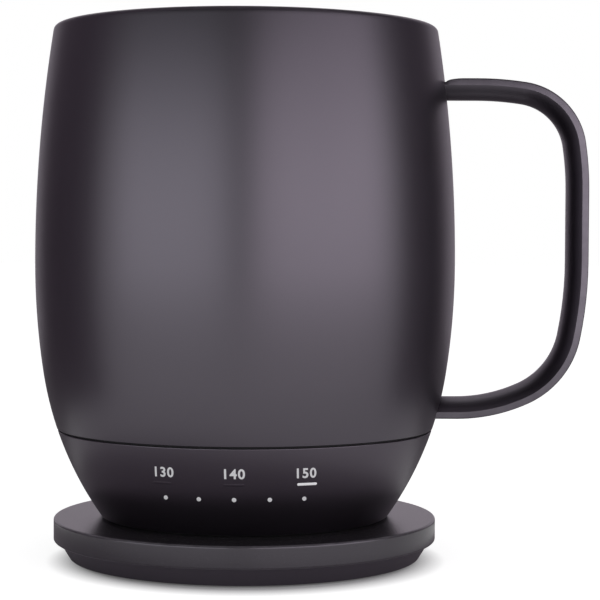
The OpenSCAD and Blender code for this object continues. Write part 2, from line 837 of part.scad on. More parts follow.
module chassis() {
  ring_top_z = cup_under_z - 2 * seat_gap;
  screw_tip_gap = 0.5;
  pilot_top_z = screw_seat_z + base_screw_l + screw_tip_gap;
  color("#d6d3cc") on_coaster() difference() {
    union() {
      rod(chassis_r, chassis_z, chassis_floor_z);
      flat_ring(chassis_r, chassis_in_r, chassis_z, ring_top_z);
      rotate_extrude() difference() {
        barrel_2d(shell_t, shell_low_z, ring_top_z);
        translate([0, shell_low_z - cut]) square([chassis_in_r, ring_top_z - shell_low_z + 2 * cut]);
      }
      around(base_screw_ring_r, quarter_turns) rod(chassis_post_r, boss_top_z, chassis_z + seat_gap);
    }
    around(base_screw_ring_r, quarter_turns) rod(base_screw_r, boss_top_z - cut, pilot_top_z);
    heater_lead_places() rod(lead_r + shank_clear, chassis_z - cut, chassis_floor_z + cut);
    battery_lead_places() rod(lead_r + shank_clear, chassis_z - cut, chassis_floor_z + cut);
    sensor_place() rod(sensor_r, chassis_z - cut, chassis_floor_z + cut);
  }
}

// Places of the heater leads, in front of the battery
module heater_lead_places() {
  for (side = [-1, 1]) translate([side * heater_lead_x, -heater_lead_y, 0]) children();
}

// Places of the battery leads, behind the protection board
module battery_lead_places() {
  for (side = [-1, 1]) translate([side * battery_lead_x, battery_lead_y, 0]) children();
}

// Place of the temperature sensor
module sensor_place() {
  translate([0, -sensor_ring_r, 0]) children();
}

module battery_cells() {
  color("#8f98a6") on_coaster() for (side = [-1, 1])
    translate([side * cell_middle_x - cell_w / 2, -cell_half_l, chassis_floor_z])
      cube([cell_w, 2 * cell_half_l, cell_t]);
}

module battery_board() {
  color("#1f4a34") on_coaster() translate([-guard_w / 2, guard_y, chassis_floor_z])
    cube([guard_w, guard_board_t, guard_h]);
}

module battery_tabs() {
  color("#c4c3bf") on_coaster() for (cell = [-1, 1], end = [-1, 1])
    translate([cell * cell_middle_x + end * tab_pitch / 2 - tab_w / 2, cell_half_l,
      chassis_floor_z + guard_h / 2]) cube([tab_w, tab_l, tab_h]);
}

module battery_leads() {
  color("#b3322c") on_coaster() battery_lead_places()
    rod(lead_r, board_top_z, chassis_floor_z + guard_h / 2);
}

module insulation_disc() {
  color("#e6e2d8") on_coaster() difference() {
    rod(chassis_in_r - 2 * seat_gap, cell_top_z, insulation_top_z);
    heater_lead_places() rod(lead_r + shank_clear, cell_top_z - cut, insulation_top_z + cut);
    sensor_place() rod(sensor_r + seat_gap, cell_top_z - cut, insulation_top_z + cut);
  }
}

module heater_film() {
  color("#b5762a") on_coaster() difference() {
    rod(spreader_r - film_margin, insulation_top_z, film_top_z);
    sensor_place() rod(sensor_r + seat_gap, insulation_top_z - cut, film_top_z + cut);
  }
}

module heat_spreader() {
  color("#c6c8ca") on_coaster() rod(spreader_r, film_top_z, cup_under_z);
}

module temperature_sensor() {
  color("#2b2a2e") on_coaster() sensor_place() rod(sensor_r, film_top_z - sensor_h, film_top_z);
}

module sensor_leads() {
  color("#d9c23a") on_coaster() sensor_place() for (side = [-1, 1])
    translate([side * sensor_r / 2, 0, 0]) rod(sensor_lead_r, board_top_z, film_top_z - sensor_h);
}

module heater_leads() {
  color("#e8e6e1") on_coaster() heater_lead_places() rod(lead_r, board_top_z, insulation_top_z);
}

// Sub-parts of the lights

module light_board() {
  half_turn = 32;
  below_dots = 2.4;
  low = dot_z - below_dots;
  color("#3d5f49") on_coaster() rotate(-90 - half_turn) rotate_extrude(angle = 2 * half_turn)
    wall_band_2d(base_wall, base_wall + flex_t, low, low + flex_h);
}

// Light behind one light guide, seated on the flexible board
module light_led(index, height, width) {
  depth = base_wall + flex_t;
  intersection() {
    wall_band(depth, depth + led_t, height - led_h, height + led_h);
    at_light(index, height) translate([0, -width / 2, -led_h / 2]) cube([belly_r, width, led_h]);
  }
}

module light_leds() {
  color("#f2ecd6") on_coaster() {
    for (index = dot_places) light_led(index, dot_z, led_w);
    for (index = concat(unlit_bar_places, lit_bar_place)) light_led(index, bar_z, 2 * led_w);
  }
}

module light_ribbon() {
  ribbon_w = 3.4;
  ribbon_t = 0.25;
  ribbon_x = 1.5;
  lap = 3;
  color("#b5762a") on_coaster() intersection() {
    translate([ribbon_x, -belly_r, board_top_z])
      cube([ribbon_w, belly_r - board_r + lap, ribbon_t]);
    barrel_solid(base_wall + flex_t, board_top_z - cut, board_top_z + cut);
  }
}

// Light guide that fills its hole in the base's wall
module light_guide(index, height) {
  wall_kept = bar_w / 2;
  intersection() {
    wall_band(0, base_wall, height - wall_kept, height + wall_kept);
    at_light(index, height) children();
  }
}

module charge_dots() {
  color("#f4f4f2") on_coaster() for (index = dot_places) light_guide(index, dot_z) dot_path();
}

module setting_bar_lit() {
  color("#ffffff") on_coaster() light_guide(lit_bar_place, bar_z) bar_path();
}

module setting_bars_unlit() {
  color("#3a383c") on_coaster() for (index = unlit_bar_places) light_guide(index, bar_z) bar_path();
}

// Sub-parts of the coaster

module coaster_top() {
  color("#39373b") difference() {
    union() {
      rotate_extrude() difference() {
        coaster_top_2d();
        translate([0, parting_z - cut]) square([skirt_in_r, plate_z - parting_z + cut]);
      }
      around(coaster_screw_ring_r, quarter_turns)
        rod(coaster_boss_r, coaster_boss_z, plate_z + seat_gap);
    }
    around(coaster_screw_ring_r, quarter_turns)
      rod(coaster_screw_r, coaster_boss_z - cut, tray_floor_z + coaster_screw_l + 2 * seat_gap);
    for (place = pin_places) translate([0, place, 0])
      rod(barrel_out_r + pin_hole_gap, plate_z - cut, coaster_h + cut);
    gland_axis() cylinder(r = gland_neck_r, h = coaster_r + cut);
  }
}

// Half outline of the coaster's upper plate and skirt
module coaster_top_2d() {
  edge_x = coaster_r - coaster_edge_r;
  edge_z = coaster_h - coaster_edge_r;
  polygon([
    [0, parting_z],
    [coaster_r - skirt_chamfer, parting_z],
    [coaster_r, parting_z + skirt_chamfer],
    [coaster_r, edge_z],
    [0, edge_z]
  ]);
  translate([0, edge_z]) square([edge_x, coaster_edge_r]);
  translate([edge_x, edge_z]) quarter_2d(coaster_edge_r, 1, 1);
}

// Turns a cylinder that stands on the origin to the gland's axis, along +Y
module gland_axis() {
  translate([0, 0, gland_z]) rotate([-90, 0, 0]) children();
}

module coaster_base() {
  peg_h = coaster_board_t + seat_gap;
  color("#302e32") difference() {
    union() {
      rotate_extrude() polygon([
        [0, tray_low_z],
        [tray_foot_r, tray_low_z],
        [tray_rim_r, parting_z],
        [lip_out_r, parting_z],
        [lip_out_r, parting_z + lip_h],
        [lip_in_r, parting_z + lip_h],
        [lip_in_r, tray_floor_z],
        [0, tray_floor_z]
      ]);
      around(coaster_screw_ring_r, quarter_turns)
        rod(coaster_boss_r, tray_floor_z - seat_gap, coaster_boss_z);
      board_pegs() {
        rod(peg_base_r, tray_floor_z - seat_gap, coaster_board_z);
        rod(peg_r, tray_floor_z - seat_gap, coaster_board_z + peg_h);
      }
    }
    rod(pad_r + seat_gap, 0, pad_seat_z);
    around(coaster_screw_ring_r, quarter_turns) {
      rod(coaster_screw_head_r + seat_gap, 0, tray_floor_z);
      rod(coaster_screw_r + shank_clear, 0, coaster_boss_z + cut);
    }
    gland_axis() cylinder(r = gland_neck_r, h = coaster_r + cut);
  }
}

// Places of the pegs that hold the coaster's board
module board_pegs() {
  around(coaster_board_r - peg_inset, quarter_turns) children();
}

module foot_pad() {
  color("#19181b") rod(pad_r, 0, pad_t);
}

module coaster_screws() {
  color("#9a9a9c") around(coaster_screw_ring_r, quarter_turns) {
    difference() {
      rod(coaster_screw_head_r, pad_seat_z + seat_gap, tray_floor_z);
      screw_cross(coaster_screw_head_r, pad_seat_z + seat_gap);
    }
    rod(coaster_screw_r, tray_floor_z, tray_floor_z + coaster_screw_l);
  }
}

module coaster_board() {
  color("#1f4a34") difference() {
    rod(coaster_board_r, coaster_board_z, coaster_board_top_z);
    board_pegs() rod(peg_r + seat_gap / 2, coaster_board_z - cut, coaster_board_top_z + cut);
  }
}

module coaster_chips() {
  color("#17171a") translate([0, 0, coaster_board_top_z]) {
    around(coaster_board_r - coaster_chip_inset, [200, 270, 340]) chip([chip_w, chip_w, chip_h]);
    around(coaster_board_r - coaster_chip_inset, [0, 180, 235, 305])
      chip([chip_small_w, chip_small_w, chip_h]);
  }
}

module pin_block() {
  half_w = barrel_out_r + pin_block_margin;
  low_y = contact_inner_r - half_w;
  color("#232226") difference() {
    translate([-half_w, low_y, coaster_board_top_z])
      cube([2 * half_w, contact_outer_r - contact_inner_r + 2 * half_w, plate_z - coaster_board_top_z]);
    for (place = pin_places) translate([0, place, 0]) rod(barrel_out_r, 0, coaster_h);
  }
}

module pin_barrels() {
  color("#c9a24a") for (place = pin_places) translate([0, place, 0]) difference() {
    rod(barrel_out_r, coaster_board_top_z, barrel_top_z);
    rod(barrel_in_r, barrel_floor_z, collar_z);
    rod(pin_r + pin_fit, collar_z - cut, barrel_top_z + cut);
  }
}

// Charge pin standing under its contact ring, with a round tip
module charge_pin(place) {
  color("#d9b65c") translate([0, place, 0]) {
    rod(pin_shoulder_r, shoulder_z, shoulder_top_z);
    rod(pin_r, shoulder_top_z, pin_tip_z - pin_r);
    intersection() {
      translate([0, 0, pin_tip_z - pin_r]) sphere(pin_r);
      rod(pin_r + cut, pin_tip_z - pin_r, pin_tip_z + cut);
    }
  }
}

module charge_pin_inner() {
  charge_pin(contact_inner_r);
}

module charge_pin_outer() {
  charge_pin(contact_outer_r);
}

// Round wire wound into a helix between two heights
module wound_spring(coil_r, wire_r, turns, low, high) {
  sides = 6;
  rings_per_turn = 10;
  rings = turns * rings_per_turn;
  function wire_point(ring, side) =
    let (turn = 360 * ring / rings_per_turn,
      round_wire = 360 * side / sides,
      reach = coil_r + wire_r * cos(round_wire))
    [reach * cos(turn), reach * sin(turn), low + (high - low) * ring / rings + wire_r * sin(round_wire)];
  points = [for (ring = [0:rings], side = [0:sides - 1]) wire_point(ring, side)];
  polyhedron(points, tube_faces(rings + 1, sides));
}

// Spring under a charge pin's shoulder
module pin_spring(place) {
  air = 0.02;
  color("#b8b6b2") translate([0, place, 0])
    wound_spring(spring_coil_r, spring_wire_r, spring_turns, barrel_floor_z + spring_wire_r + air,
      shoulder_z - spring_wire_r - air);
}

module pin_spring_inner() {
  pin_spring(contact_inner_r);
}

module pin_spring_outer() {
  pin_spring(contact_outer_r);
}

module cord_gland() {
  collar_y = coaster_r - cut;
  color("#19181b") difference() {
    union() {
      gland_axis() rod(gland_flange_r, gland_in_y, gland_in_y + gland_flange_t);
      gland_axis() rod(gland_neck_r, gland_in_y, gland_out_y);
      difference() {
        gland_axis() rod(gland_flange_r, collar_y, gland_out_y);
        rod(coaster_r, 0, coaster_h);
      }
    }
    gland_axis() rod(gland_bore_r, gland_in_y - cut, gland_out_y + cut);
  }
}

outer_shell();
inner_cup();
handle();
seam_gasket();
base_shell();
foot_ring();
base_screws();
bottom_cover();
bottom_seal();
contact_ring_inner();
contact_ring_outer();
contact_posts();
main_board();
board_chips();
board_screws();
tact_switch();
button_boot();
power_button();
switch_plunger();
chassis();
battery_cells();
battery_board();
battery_tabs();
battery_leads();
insulation_disc();
heater_film();
heat_spreader();
temperature_sensor();
sensor_leads();
heater_leads();
light_board();
light_leds();
light_ribbon();
charge_dots();
setting_bar_lit();
setting_bars_unlit();
coaster_top();
coaster_base();
foot_pad();
coaster_screws();
coaster_board();
coaster_chips();
pin_block();
pin_barrels();
pin_spring_inner();
pin_spring_outer();
charge_pin_inner();
charge_pin_outer();
cord_gland();
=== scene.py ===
"""Looks of a self-heating mug on its charging coaster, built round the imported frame.

Sizes are in millimetres and angles in degrees. Heights in the mug are counted from its foot, and
angles round the axis from +X. Meshes are made in metres, in the frame's own place.
"""
import json
import logging
import math
from collections.abc import Sequence
from dataclasses import dataclass
from enum import Enum
from typing import NamedTuple

import bmesh
import bpy
from mathutils import Matrix, Vector


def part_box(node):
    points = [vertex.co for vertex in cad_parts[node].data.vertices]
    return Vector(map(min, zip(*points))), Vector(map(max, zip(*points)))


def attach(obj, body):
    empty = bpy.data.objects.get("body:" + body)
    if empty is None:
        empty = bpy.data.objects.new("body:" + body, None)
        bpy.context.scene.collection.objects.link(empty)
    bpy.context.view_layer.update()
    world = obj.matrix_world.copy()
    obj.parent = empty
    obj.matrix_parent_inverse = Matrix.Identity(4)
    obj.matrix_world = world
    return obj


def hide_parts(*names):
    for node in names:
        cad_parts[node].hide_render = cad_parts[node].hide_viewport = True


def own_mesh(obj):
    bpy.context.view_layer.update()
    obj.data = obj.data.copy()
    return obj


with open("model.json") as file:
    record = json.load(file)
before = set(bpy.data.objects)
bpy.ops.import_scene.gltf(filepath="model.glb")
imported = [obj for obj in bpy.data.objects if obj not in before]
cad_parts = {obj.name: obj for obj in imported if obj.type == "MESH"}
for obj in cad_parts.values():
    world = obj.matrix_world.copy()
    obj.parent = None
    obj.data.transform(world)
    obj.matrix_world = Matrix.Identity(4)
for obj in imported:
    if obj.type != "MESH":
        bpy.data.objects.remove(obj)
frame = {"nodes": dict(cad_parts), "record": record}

Colour = tuple[float, float, float]
Corner = tuple[float, float, float]
Spot = tuple[float, float]
# X, height and heading of a place along the handle
PathSpot = tuple[float, float, float]
Sheet = Sequence[Sequence[bmesh.types.BMVert]]
# Name, two ends or opposite corners, and colour of a card
CardRow = tuple[str, Spot, Spot, Colour]
Piece = bpy.types.Object
Tree = bpy.types.NodeTree
Node = bpy.types.Node
Socket = bpy.types.NodeSocket
NodeValue = Socket | float | bool | str | Sequence[float]

MM = 0.001
TINY = 1e-6
# Distance in metres under which points are one
MERGE_M = 1e-7
# Faces round the axis of large, middling, small and smallest turned pieces
LATHE_STEPS = 256
BUTTON_STEPS = 128
HOLE_STEPS = 64
PIN_STEPS = 48
# Distance of the points that hold a rounded corner, in roundings, and the room that they need
HOLD_SHARE = 0.5
HOLD_ROOM = 1.5
# Points in a turn of a spring, and sides of its wire
COIL_STEPS = 24
WIRE_SIDES = 10
LOG = logging.getLogger("mug")

# Shares of a pattern between which the roughness spreads
SHARE_LOW = 0.3
SHARE_HIGH = 0.7
TRACE_SIZES = {"Mortar Size": 0.03, "Brick Width": 0.9, "Row Height": 0.35}
WINDING_WAVER = 0.4
FIBRE_WAVER = 2.5
GRAIN_DETAIL = 4.0
WEAR_SCALE = 420.0
MATT = {"Roughness": 0.9, "Specular IOR Level": 0.0}
WHITE = (1.0, 1.0, 1.0, 1.0)
COASTER_SHEEN = (0.95, 0.89, 1.0)


def fill(tree: Tree, node: Node, inputs: dict[str | int, NodeValue]) -> None:
    """Links or sets inputs of a node.

    Args:
        tree: tree that holds the node.
        node: the node.
        inputs: sockets to link or values to set, by the input's name or number.
    """
    for key, value in inputs.items():
        if isinstance(value, Socket):
            tree.links.new(value, node.inputs[key])
        else:
            node.inputs[key].default_value = value


def add_node(
    tree: Tree,
    kind: str,
    inputs: dict[str | int, NodeValue],
    **settings: str,
) -> Node:
    """Adds a node with its settings and inputs.

    Args:
        tree: tree that gets the node.
        kind: node type.
        inputs: sockets to link or values to set, by the input's name or number.
        settings: the node's own settings.

    Returns:
        The node.
    """
    made = tree.nodes.new(kind)
    for name, value in settings.items():
        setattr(made, name, value)
    fill(tree, made, inputs)
    return made


def new_material(name: str) -> tuple[bpy.types.Material, Node]:
    """New material and its shader."""
    made = bpy.data.materials.new(name)
    made.use_nodes = True
    return made, made.node_tree.nodes["Principled BSDF"]


class Pattern(Enum):
    """How a finish varies over its surface."""

    GRAIN = "grain"
    RINGS = "rings"
    TRACES = "traces"
    WRINKLES = "wrinkles"
    FIBRES = "fibres"
    WINDING = "winding"


class OutlinePoint(NamedTuple):
    """Point of a half outline, with its share of edge wear."""

    radius: float
    height: float
    wear: float


@dataclass(frozen=True)
class Finish:
    """One surface finish and the nodes that make it.

    The pattern blends colour and shade, spreads the roughness and raises the bump.
    """

    slot: str
    colour: Colour
    shade: Colour
    roughness: tuple[float, float]
    metallic: float = 0.0
    pattern: Pattern = Pattern.GRAIN
    scale: float = 1500.0
    bump: float = 0.15
    bump_depth: float = 0.02
    ior: float = 1.5
    coat: float = 0.0
    coat_roughness: float = 0.3
    sheen_tint: Colour = (1.0, 1.0, 1.0)
    glow: float = 0.0
    worn: Colour | None = None

    def material(self) -> bpy.types.Material:
        """Material of this finish, made once."""
        name = "finish_" + self.slot
        made = bpy.data.materials.get(name)
        if made is None:
            made = self._build(name)
        return made

    def _build(self, name: str) -> bpy.types.Material:
        """Builds the node tree.

        Args:
            name: name of the new material.

        Returns:
            The material.
        """
        made, shader = new_material(name)
        made.diffuse_color = (*self.colour, 1.0)
        tree = made.node_tree
        place = tree.nodes.new("ShaderNodeTexCoord").outputs["Object"]
        share = self._pattern(tree, place)
        ends = {"A": (*self.colour, 1.0), "B": (*self.shade, 1.0), "Factor": share}
        tint = add_node(tree, "ShaderNodeMix", ends, data_type="RGBA").outputs["Result"]
        if self.worn is not None:
            tint = self._wear(tree, place, tint)
        low, high = self.roughness
        spread = add_node(tree, "ShaderNodeMapRange", {
            "Value": share, "From Min": SHARE_LOW, "From Max": SHARE_HIGH, "To Min": low, "To Max": high})
        relief = add_node(tree, "ShaderNodeBump", {
            "Height": share, "Strength": self.bump, "Distance": self.bump_depth * MM})
        fill(tree, shader, {
            "Base Color": tint,
            "Metallic": self.metallic,
            "Roughness": spread.outputs["Result"],
            "IOR": self.ior,
            "Normal": relief.outputs["Normal"],
            "Specular Tint": (*self.sheen_tint, 1.0),
            "Coat Weight": self.coat,
            "Coat Roughness": self.coat_roughness,
        })
        if self.glow > 0.0:
            fill(tree, shader, {"Emission Color": (*self.colour, 1.0), "Emission Strength": self.glow})
        return made

    def _pattern(self, tree: Tree, place: Socket) -> Socket:
        """Adds the nodes of the pattern.

        Args:
            tree: tree of the material.
            place: socket with the place on the piece.

        Returns:
            Socket with a share from 0 to 1.
        """
        inputs: dict[str | int, NodeValue] = {"Scale": self.scale, "Vector": place}
        if self.pattern is Pattern.TRACES:
            return add_node(tree, "ShaderNodeTexBrick", {**inputs, **TRACE_SIZES}).outputs["Fac"]
        if self.pattern is Pattern.WRINKLES:
            return add_node(tree, "ShaderNodeTexVoronoi", inputs, feature="SMOOTH_F1").outputs["Distance"]
        if self.pattern is Pattern.WINDING:
            inputs["Distortion"] = WINDING_WAVER
            bands = add_node(tree, "ShaderNodeTexWave", inputs, wave_type="RINGS", rings_direction="Z")
            return bands.outputs["Fac"]
        inputs["Detail"] = GRAIN_DETAIL
        if self.pattern is Pattern.FIBRES:
            inputs["Distortion"] = FIBRE_WAVER
        if self.pattern is Pattern.RINGS:
            inputs["Vector"] = self._round_axis(tree, place)
        return add_node(tree, "ShaderNodeTexNoise", inputs).outputs["Fac"]

    def _round_axis(self, tree: Tree, place: Socket) -> Socket:
        """Turns a place into radius and height, so that a noise runs in rings round the axis.

        Args:
            tree: tree of the material.
            place: socket with the place on the piece.

        Returns:
            Socket with the vector (radius, 0, height).
        """
        parts = add_node(tree, "ShaderNodeSeparateXYZ", {"Vector": place}).outputs
        flat = add_node(tree, "ShaderNodeCombineXYZ", {"X": parts["X"], "Y": parts["Y"]})
        reach = add_node(tree, "ShaderNodeVectorMath", {0: flat.outputs["Vector"]}, operation="LENGTH")
        ring = add_node(tree, "ShaderNodeCombineXYZ", {"X": reach.outputs["Value"], "Z": parts["Z"]})
        return ring.outputs["Vector"]

    def _wear(
        self,
        tree: Tree,
        place: Socket,
        tint: Socket,
    ) -> Socket:
        """Lightens the rounded edges in broken patches.

        Args:
            tree: tree of the material.
            place: socket with the place on the piece.
            tint: socket with the colour so far.

        Returns:
            Socket with the worn colour.
        """
        edge = add_node(tree, "ShaderNodeAttribute", {}, attribute_name="wear")
        patches = add_node(tree, "ShaderNodeTexNoise", {"Scale": WEAR_SCALE, "Vector": place})
        shares = {0: edge.outputs["Fac"], 1: patches.outputs["Fac"]}
        amount = add_node(tree, "ShaderNodeMath", shares, operation="MULTIPLY")
        ends = {"A": tint, "B": (*self.worn, 1.0), "Factor": amount.outputs["Value"]}
        return add_node(tree, "ShaderNodeMix", ends, data_type="RGBA").outputs["Result"]


FINISHES: dict[str, Finish] = {
    finish.slot: finish
    for finish in (
        Finish("body_coat", (0.105, 0.095, 0.111), (0.125, 0.113, 0.132), (0.32, 0.40), metallic=1.0,
               scale=5200.0, bump=0.10, bump_depth=0.01, worn=(0.17, 0.155, 0.178)),
        Finish("base_coat", (0.106, 0.093, 0.111), (0.126, 0.111, 0.132), (0.34, 0.42), metallic=1.0,
               scale=5200.0, bump=0.10, bump_depth=0.01, worn=(0.16, 0.143, 0.168)),
        Finish("cup_steel", (0.56, 0.55, 0.54), (0.68, 0.67, 0.66), (0.22, 0.34), metallic=1.0,
               pattern=Pattern.RINGS, scale=2600.0, bump=0.12, bump_depth=0.01),
        Finish("coaster_plastic", (0.018, 0.016, 0.018), (0.025, 0.023, 0.026), (0.20, 0.28), ior=1.75,
               sheen_tint=COASTER_SHEEN, scale=4200.0, bump=0.10, bump_depth=0.008,
               worn=(0.10, 0.095, 0.105)),
        Finish("tray_plastic", (0.022, 0.020, 0.024), (0.030, 0.027, 0.032), (0.30, 0.40), ior=2.0,
               sheen_tint=COASTER_SHEEN, scale=4200.0, bump=0.16, bump_depth=0.012,
               worn=(0.06, 0.056, 0.062)),
        Finish("black_silicone", (0.012, 0.012, 0.013), (0.022, 0.021, 0.023), (0.55, 0.72),
               scale=1900.0, bump=0.25, bump_depth=0.02),
        Finish("red_silicone", (0.20, 0.025, 0.02), (0.28, 0.04, 0.03), (0.5, 0.65), scale=1900.0),
        Finish("cover_plastic", (0.016, 0.015, 0.017), (0.024, 0.023, 0.026), (0.45, 0.58),
               scale=3600.0, bump=0.22, worn=(0.05, 0.05, 0.055)),
        Finish("button_plastic", (0.050, 0.047, 0.053), (0.066, 0.062, 0.070), (0.38, 0.5),
               scale=3600.0, bump=0.18, worn=(0.11, 0.105, 0.115)),
        Finish("chassis_plastic", (0.62, 0.60, 0.55), (0.70, 0.68, 0.63), (0.45, 0.58), scale=2400.0),
        Finish("white_plastic", (0.72, 0.71, 0.68), (0.80, 0.79, 0.76), (0.35, 0.5), scale=2400.0),
        Finish("gold_contact", (0.72, 0.48, 0.16), (0.84, 0.60, 0.24), (0.18, 0.30), metallic=1.0,
               pattern=Pattern.RINGS, scale=5200.0, bump=0.10, bump_depth=0.01),
        Finish("board_green", (0.010, 0.055, 0.030), (0.032, 0.11, 0.055), (0.3, 0.45),
               pattern=Pattern.TRACES, scale=240.0, bump=0.25),
        Finish("chip_black", (0.010, 0.010, 0.011), (0.020, 0.020, 0.022), (0.45, 0.6), scale=3800.0),
        Finish("fastener_steel", (0.48, 0.48, 0.49), (0.62, 0.62, 0.63), (0.25, 0.4), metallic=1.0,
               pattern=Pattern.RINGS, scale=3000.0),
        Finish("cell_foil", (0.42, 0.44, 0.48), (0.60, 0.62, 0.66), (0.25, 0.42), metallic=0.9,
               pattern=Pattern.WRINKLES, scale=260.0, bump=0.4, bump_depth=0.05),
        Finish("spreader_aluminium", (0.62, 0.63, 0.64), (0.74, 0.75, 0.76), (0.28, 0.42), metallic=1.0,
               pattern=Pattern.RINGS, scale=2200.0),
        Finish("insulation_felt", (0.68, 0.64, 0.55), (0.82, 0.79, 0.70), (0.8, 0.95),
               pattern=Pattern.FIBRES, scale=620.0, bump=0.6, bump_depth=0.1),
        Finish("amber_film", (0.36, 0.15, 0.025), (0.50, 0.24, 0.05), (0.2, 0.32),
               pattern=Pattern.WINDING, scale=140.0, bump=0.2, coat=0.4),
        Finish("lead_red", (0.42, 0.030, 0.022), (0.52, 0.045, 0.03), (0.35, 0.5), scale=2000.0),
        Finish("lead_white", (0.70, 0.69, 0.66), (0.80, 0.79, 0.77), (0.35, 0.5), scale=2000.0),
        Finish("lead_yellow", (0.62, 0.46, 0.04), (0.74, 0.56, 0.07), (0.35, 0.5), scale=2000.0),
        # The printed numbers share this glow; on them it is painted light
        Finish("light_pale", (0.62, 0.62, 0.63), (0.70, 0.70, 0.71), (0.3, 0.45), scale=2600.0, glow=0.22),
        Finish("light_lit", (0.92, 0.92, 0.93), (0.97, 0.97, 0.98), (0.3, 0.4), scale=2600.0, glow=0.15),
        Finish("light_dark", (0.103, 0.090, 0.108), (0.122, 0.107, 0.128), (0.34, 0.42), metallic=1.0,
               scale=2600.0, bump=0.10, bump_depth=0.01),
    )
}


def rounded(corners: Sequence[Corner], steps: int = 6) -> list[OutlinePoint]:
    """Closed outline through corners, with each corner rounded and held by points beside its arc.

    Args:
        corners: (radius, height, rounding) of each corner, in order.
        steps: flats in each rounded corner.

    Returns:
        Points of the outline.
    """
    points: list[OutlinePoint] = []
    for index, (radius, height, rounding) in enumerate(corners):
        here = Vector((radius, height))
        if rounding == 0.0:
            points.append(OutlinePoint(radius, height, 0.0))
            continue
        before = Vector(corners[index - 1][:2]) - here
        after = Vector(corners[(index + 1) % len(corners)][:2]) - here
        half = before.angle(after) / 2
        reach = rounding / math.tan(half)
        hold = HOLD_SHARE * rounding
        back, ahead = before.normalized(), after.normalized()
        centre = here + (back + ahead).normalized() * rounding / math.sin(half)
        start, end = here + back * reach - centre, here + ahead * reach - centre
        if before.length > reach + HOLD_ROOM * hold:
            points.append(OutlinePoint(*(here + back * (reach + hold)), 0.0))
        for step in range(steps + 1):
            spoke = start.slerp(end, step / steps, start) * rounding
            share = math.sin(math.pi * step / steps)
            points.append(OutlinePoint(*(centre + spoke), share))
        if after.length > reach + HOLD_ROOM * hold:
            points.append(OutlinePoint(*(here + ahead * (reach + hold)), 0.0))
    return points


def new_object(name: str, mesh: bpy.types.Mesh) -> Piece:
    """Links a new object at the origin.

    Args:
        name: name of the object.
        mesh: its mesh.

    Returns:
        The object.
    """
    made = bpy.data.objects.new(name, mesh)
    bpy.context.scene.collection.objects.link(made)
    return made


def smooth(mesh: bpy.types.Mesh, sharp_angle: float = 38.0) -> None:
    """Shades a mesh smooth, with hard edges where its faces turn by more than an angle."""
    mesh.shade_smooth()
    mesh.set_sharp_from_angle(angle=math.radians(sharp_angle))


def mesh_from(build: bmesh.types.BMesh, name: str) -> bpy.types.Mesh:
    """Turns a finished bmesh into a mesh with outward faces.

    Args:
        build: the bmesh, which is freed.
        name: name of the mesh.

    Returns:
        The mesh.
    """
    bmesh.ops.remove_doubles(build, verts=build.verts, dist=MERGE_M)
    bmesh.ops.recalc_face_normals(build, faces=build.faces)
    mesh = bpy.data.meshes.new(name)
    build.to_mesh(mesh)
    build.free()
    smooth(mesh)
    return mesh


def band(
    inner: float,
    outer: float,
    low: float,
    high: float,
    low_round: float,
    high_round: float = 0.0,
) -> list[Corner]:
    """Corners of a flat ring.

    Args:
        inner: inner radius.
        outer: outer radius.
        low: height of its lower face.
        high: height of its upper face.
        low_round: rounding of its lower edges.
        high_round: rounding of its upper edges.

    Returns:
        The four corners, in order.
    """
    under = [(inner, low, low_round), (outer, low, low_round)]
    return [*under, (outer, high, high_round), (inner, high, high_round)]


def lathe(
    name: str,
    outline: Sequence[OutlinePoint],
    lift: float = 0.0,
    steps: int = LATHE_STEPS,
) -> Piece:
    """Turns a closed half outline round the vertical axis.

    Args:
        name: name of the new object.
        outline: points of the outline.
        lift: height added to the outline.
        steps: faces round the axis.

    Returns:
        The object, with a wear attribute on its points.
    """
    build = bmesh.new()
    wear = build.verts.layers.float.new("wear")
    rings: list[list[bmesh.types.BMVert]] = []
    for point in outline:
        count = steps if point.radius > TINY else 1
        ring = []
        for step in range(count):
            angle = 2 * math.pi * step / steps
            x, y = point.radius * math.cos(angle), point.radius * math.sin(angle)
            vert = build.verts.new(Vector((x, y, point.height + lift)) * MM)
            vert[wear] = point.wear
            ring.append(vert)
        rings.append(ring)
    for low, high in zip(rings, rings[1:] + rings[:1]):
        if len(low) == 1 and len(high) == 1:
            continue
        for step in range(steps):
            after = (step + 1) % steps
            under = [low[step % len(low)], low[after % len(low)]]
            over = [high[after % len(high)], high[step % len(high)]]
            build.faces.new(list(dict.fromkeys(under + over)))
    return new_object(name, mesh_from(build, name))


def close_sheets(build: bmesh.types.BMesh, under: Sheet, over: Sheet) -> None:
    """Fills two facing grids of points and joins them along their long sides.

    Args:
        build: bmesh that holds the points.
        under: columns of points of one grid.
        over: columns of points of the other one.
    """
    last = len(under[0]) - 1
    for index in range(len(under) - 1):
        for left, right in ((sheet[index], sheet[index + 1]) for sheet in (under, over)):
            for row in range(last):
                build.faces.new((left[row], right[row], right[row + 1], left[row + 1]))
        for row in (0, last):
            low, high = ([sheet[column][row] for column in (index, index + 1)] for sheet in (under, over))
            build.faces.new((*low, *reversed(high)))


def along_y(piece: Piece, place: float) -> Piece:
    """Moves a lathed piece along Y by a number of millimetres and gives it back."""
    piece.data.transform(Matrix.Translation(Vector((0.0, place * MM, 0.0))))
    return piece


def remove(*objects: Piece) -> None:
    """Deletes helper objects."""
    for made in objects:
        bpy.data.objects.remove(made)


def applied(source: Piece, name: str) -> Piece:
    """Turns an object with modifiers into a plain mesh.

    Args:
        source: the object, which is deleted.
        name: name of the result.

    Returns:
        The plain object.
    """
    graph = bpy.context.evaluated_depsgraph_get()
    mesh = bpy.data.meshes.new_from_object(source.evaluated_get(graph), depsgraph=graph)
    remove(source)
    mesh.name = name
    return new_object(name, mesh)


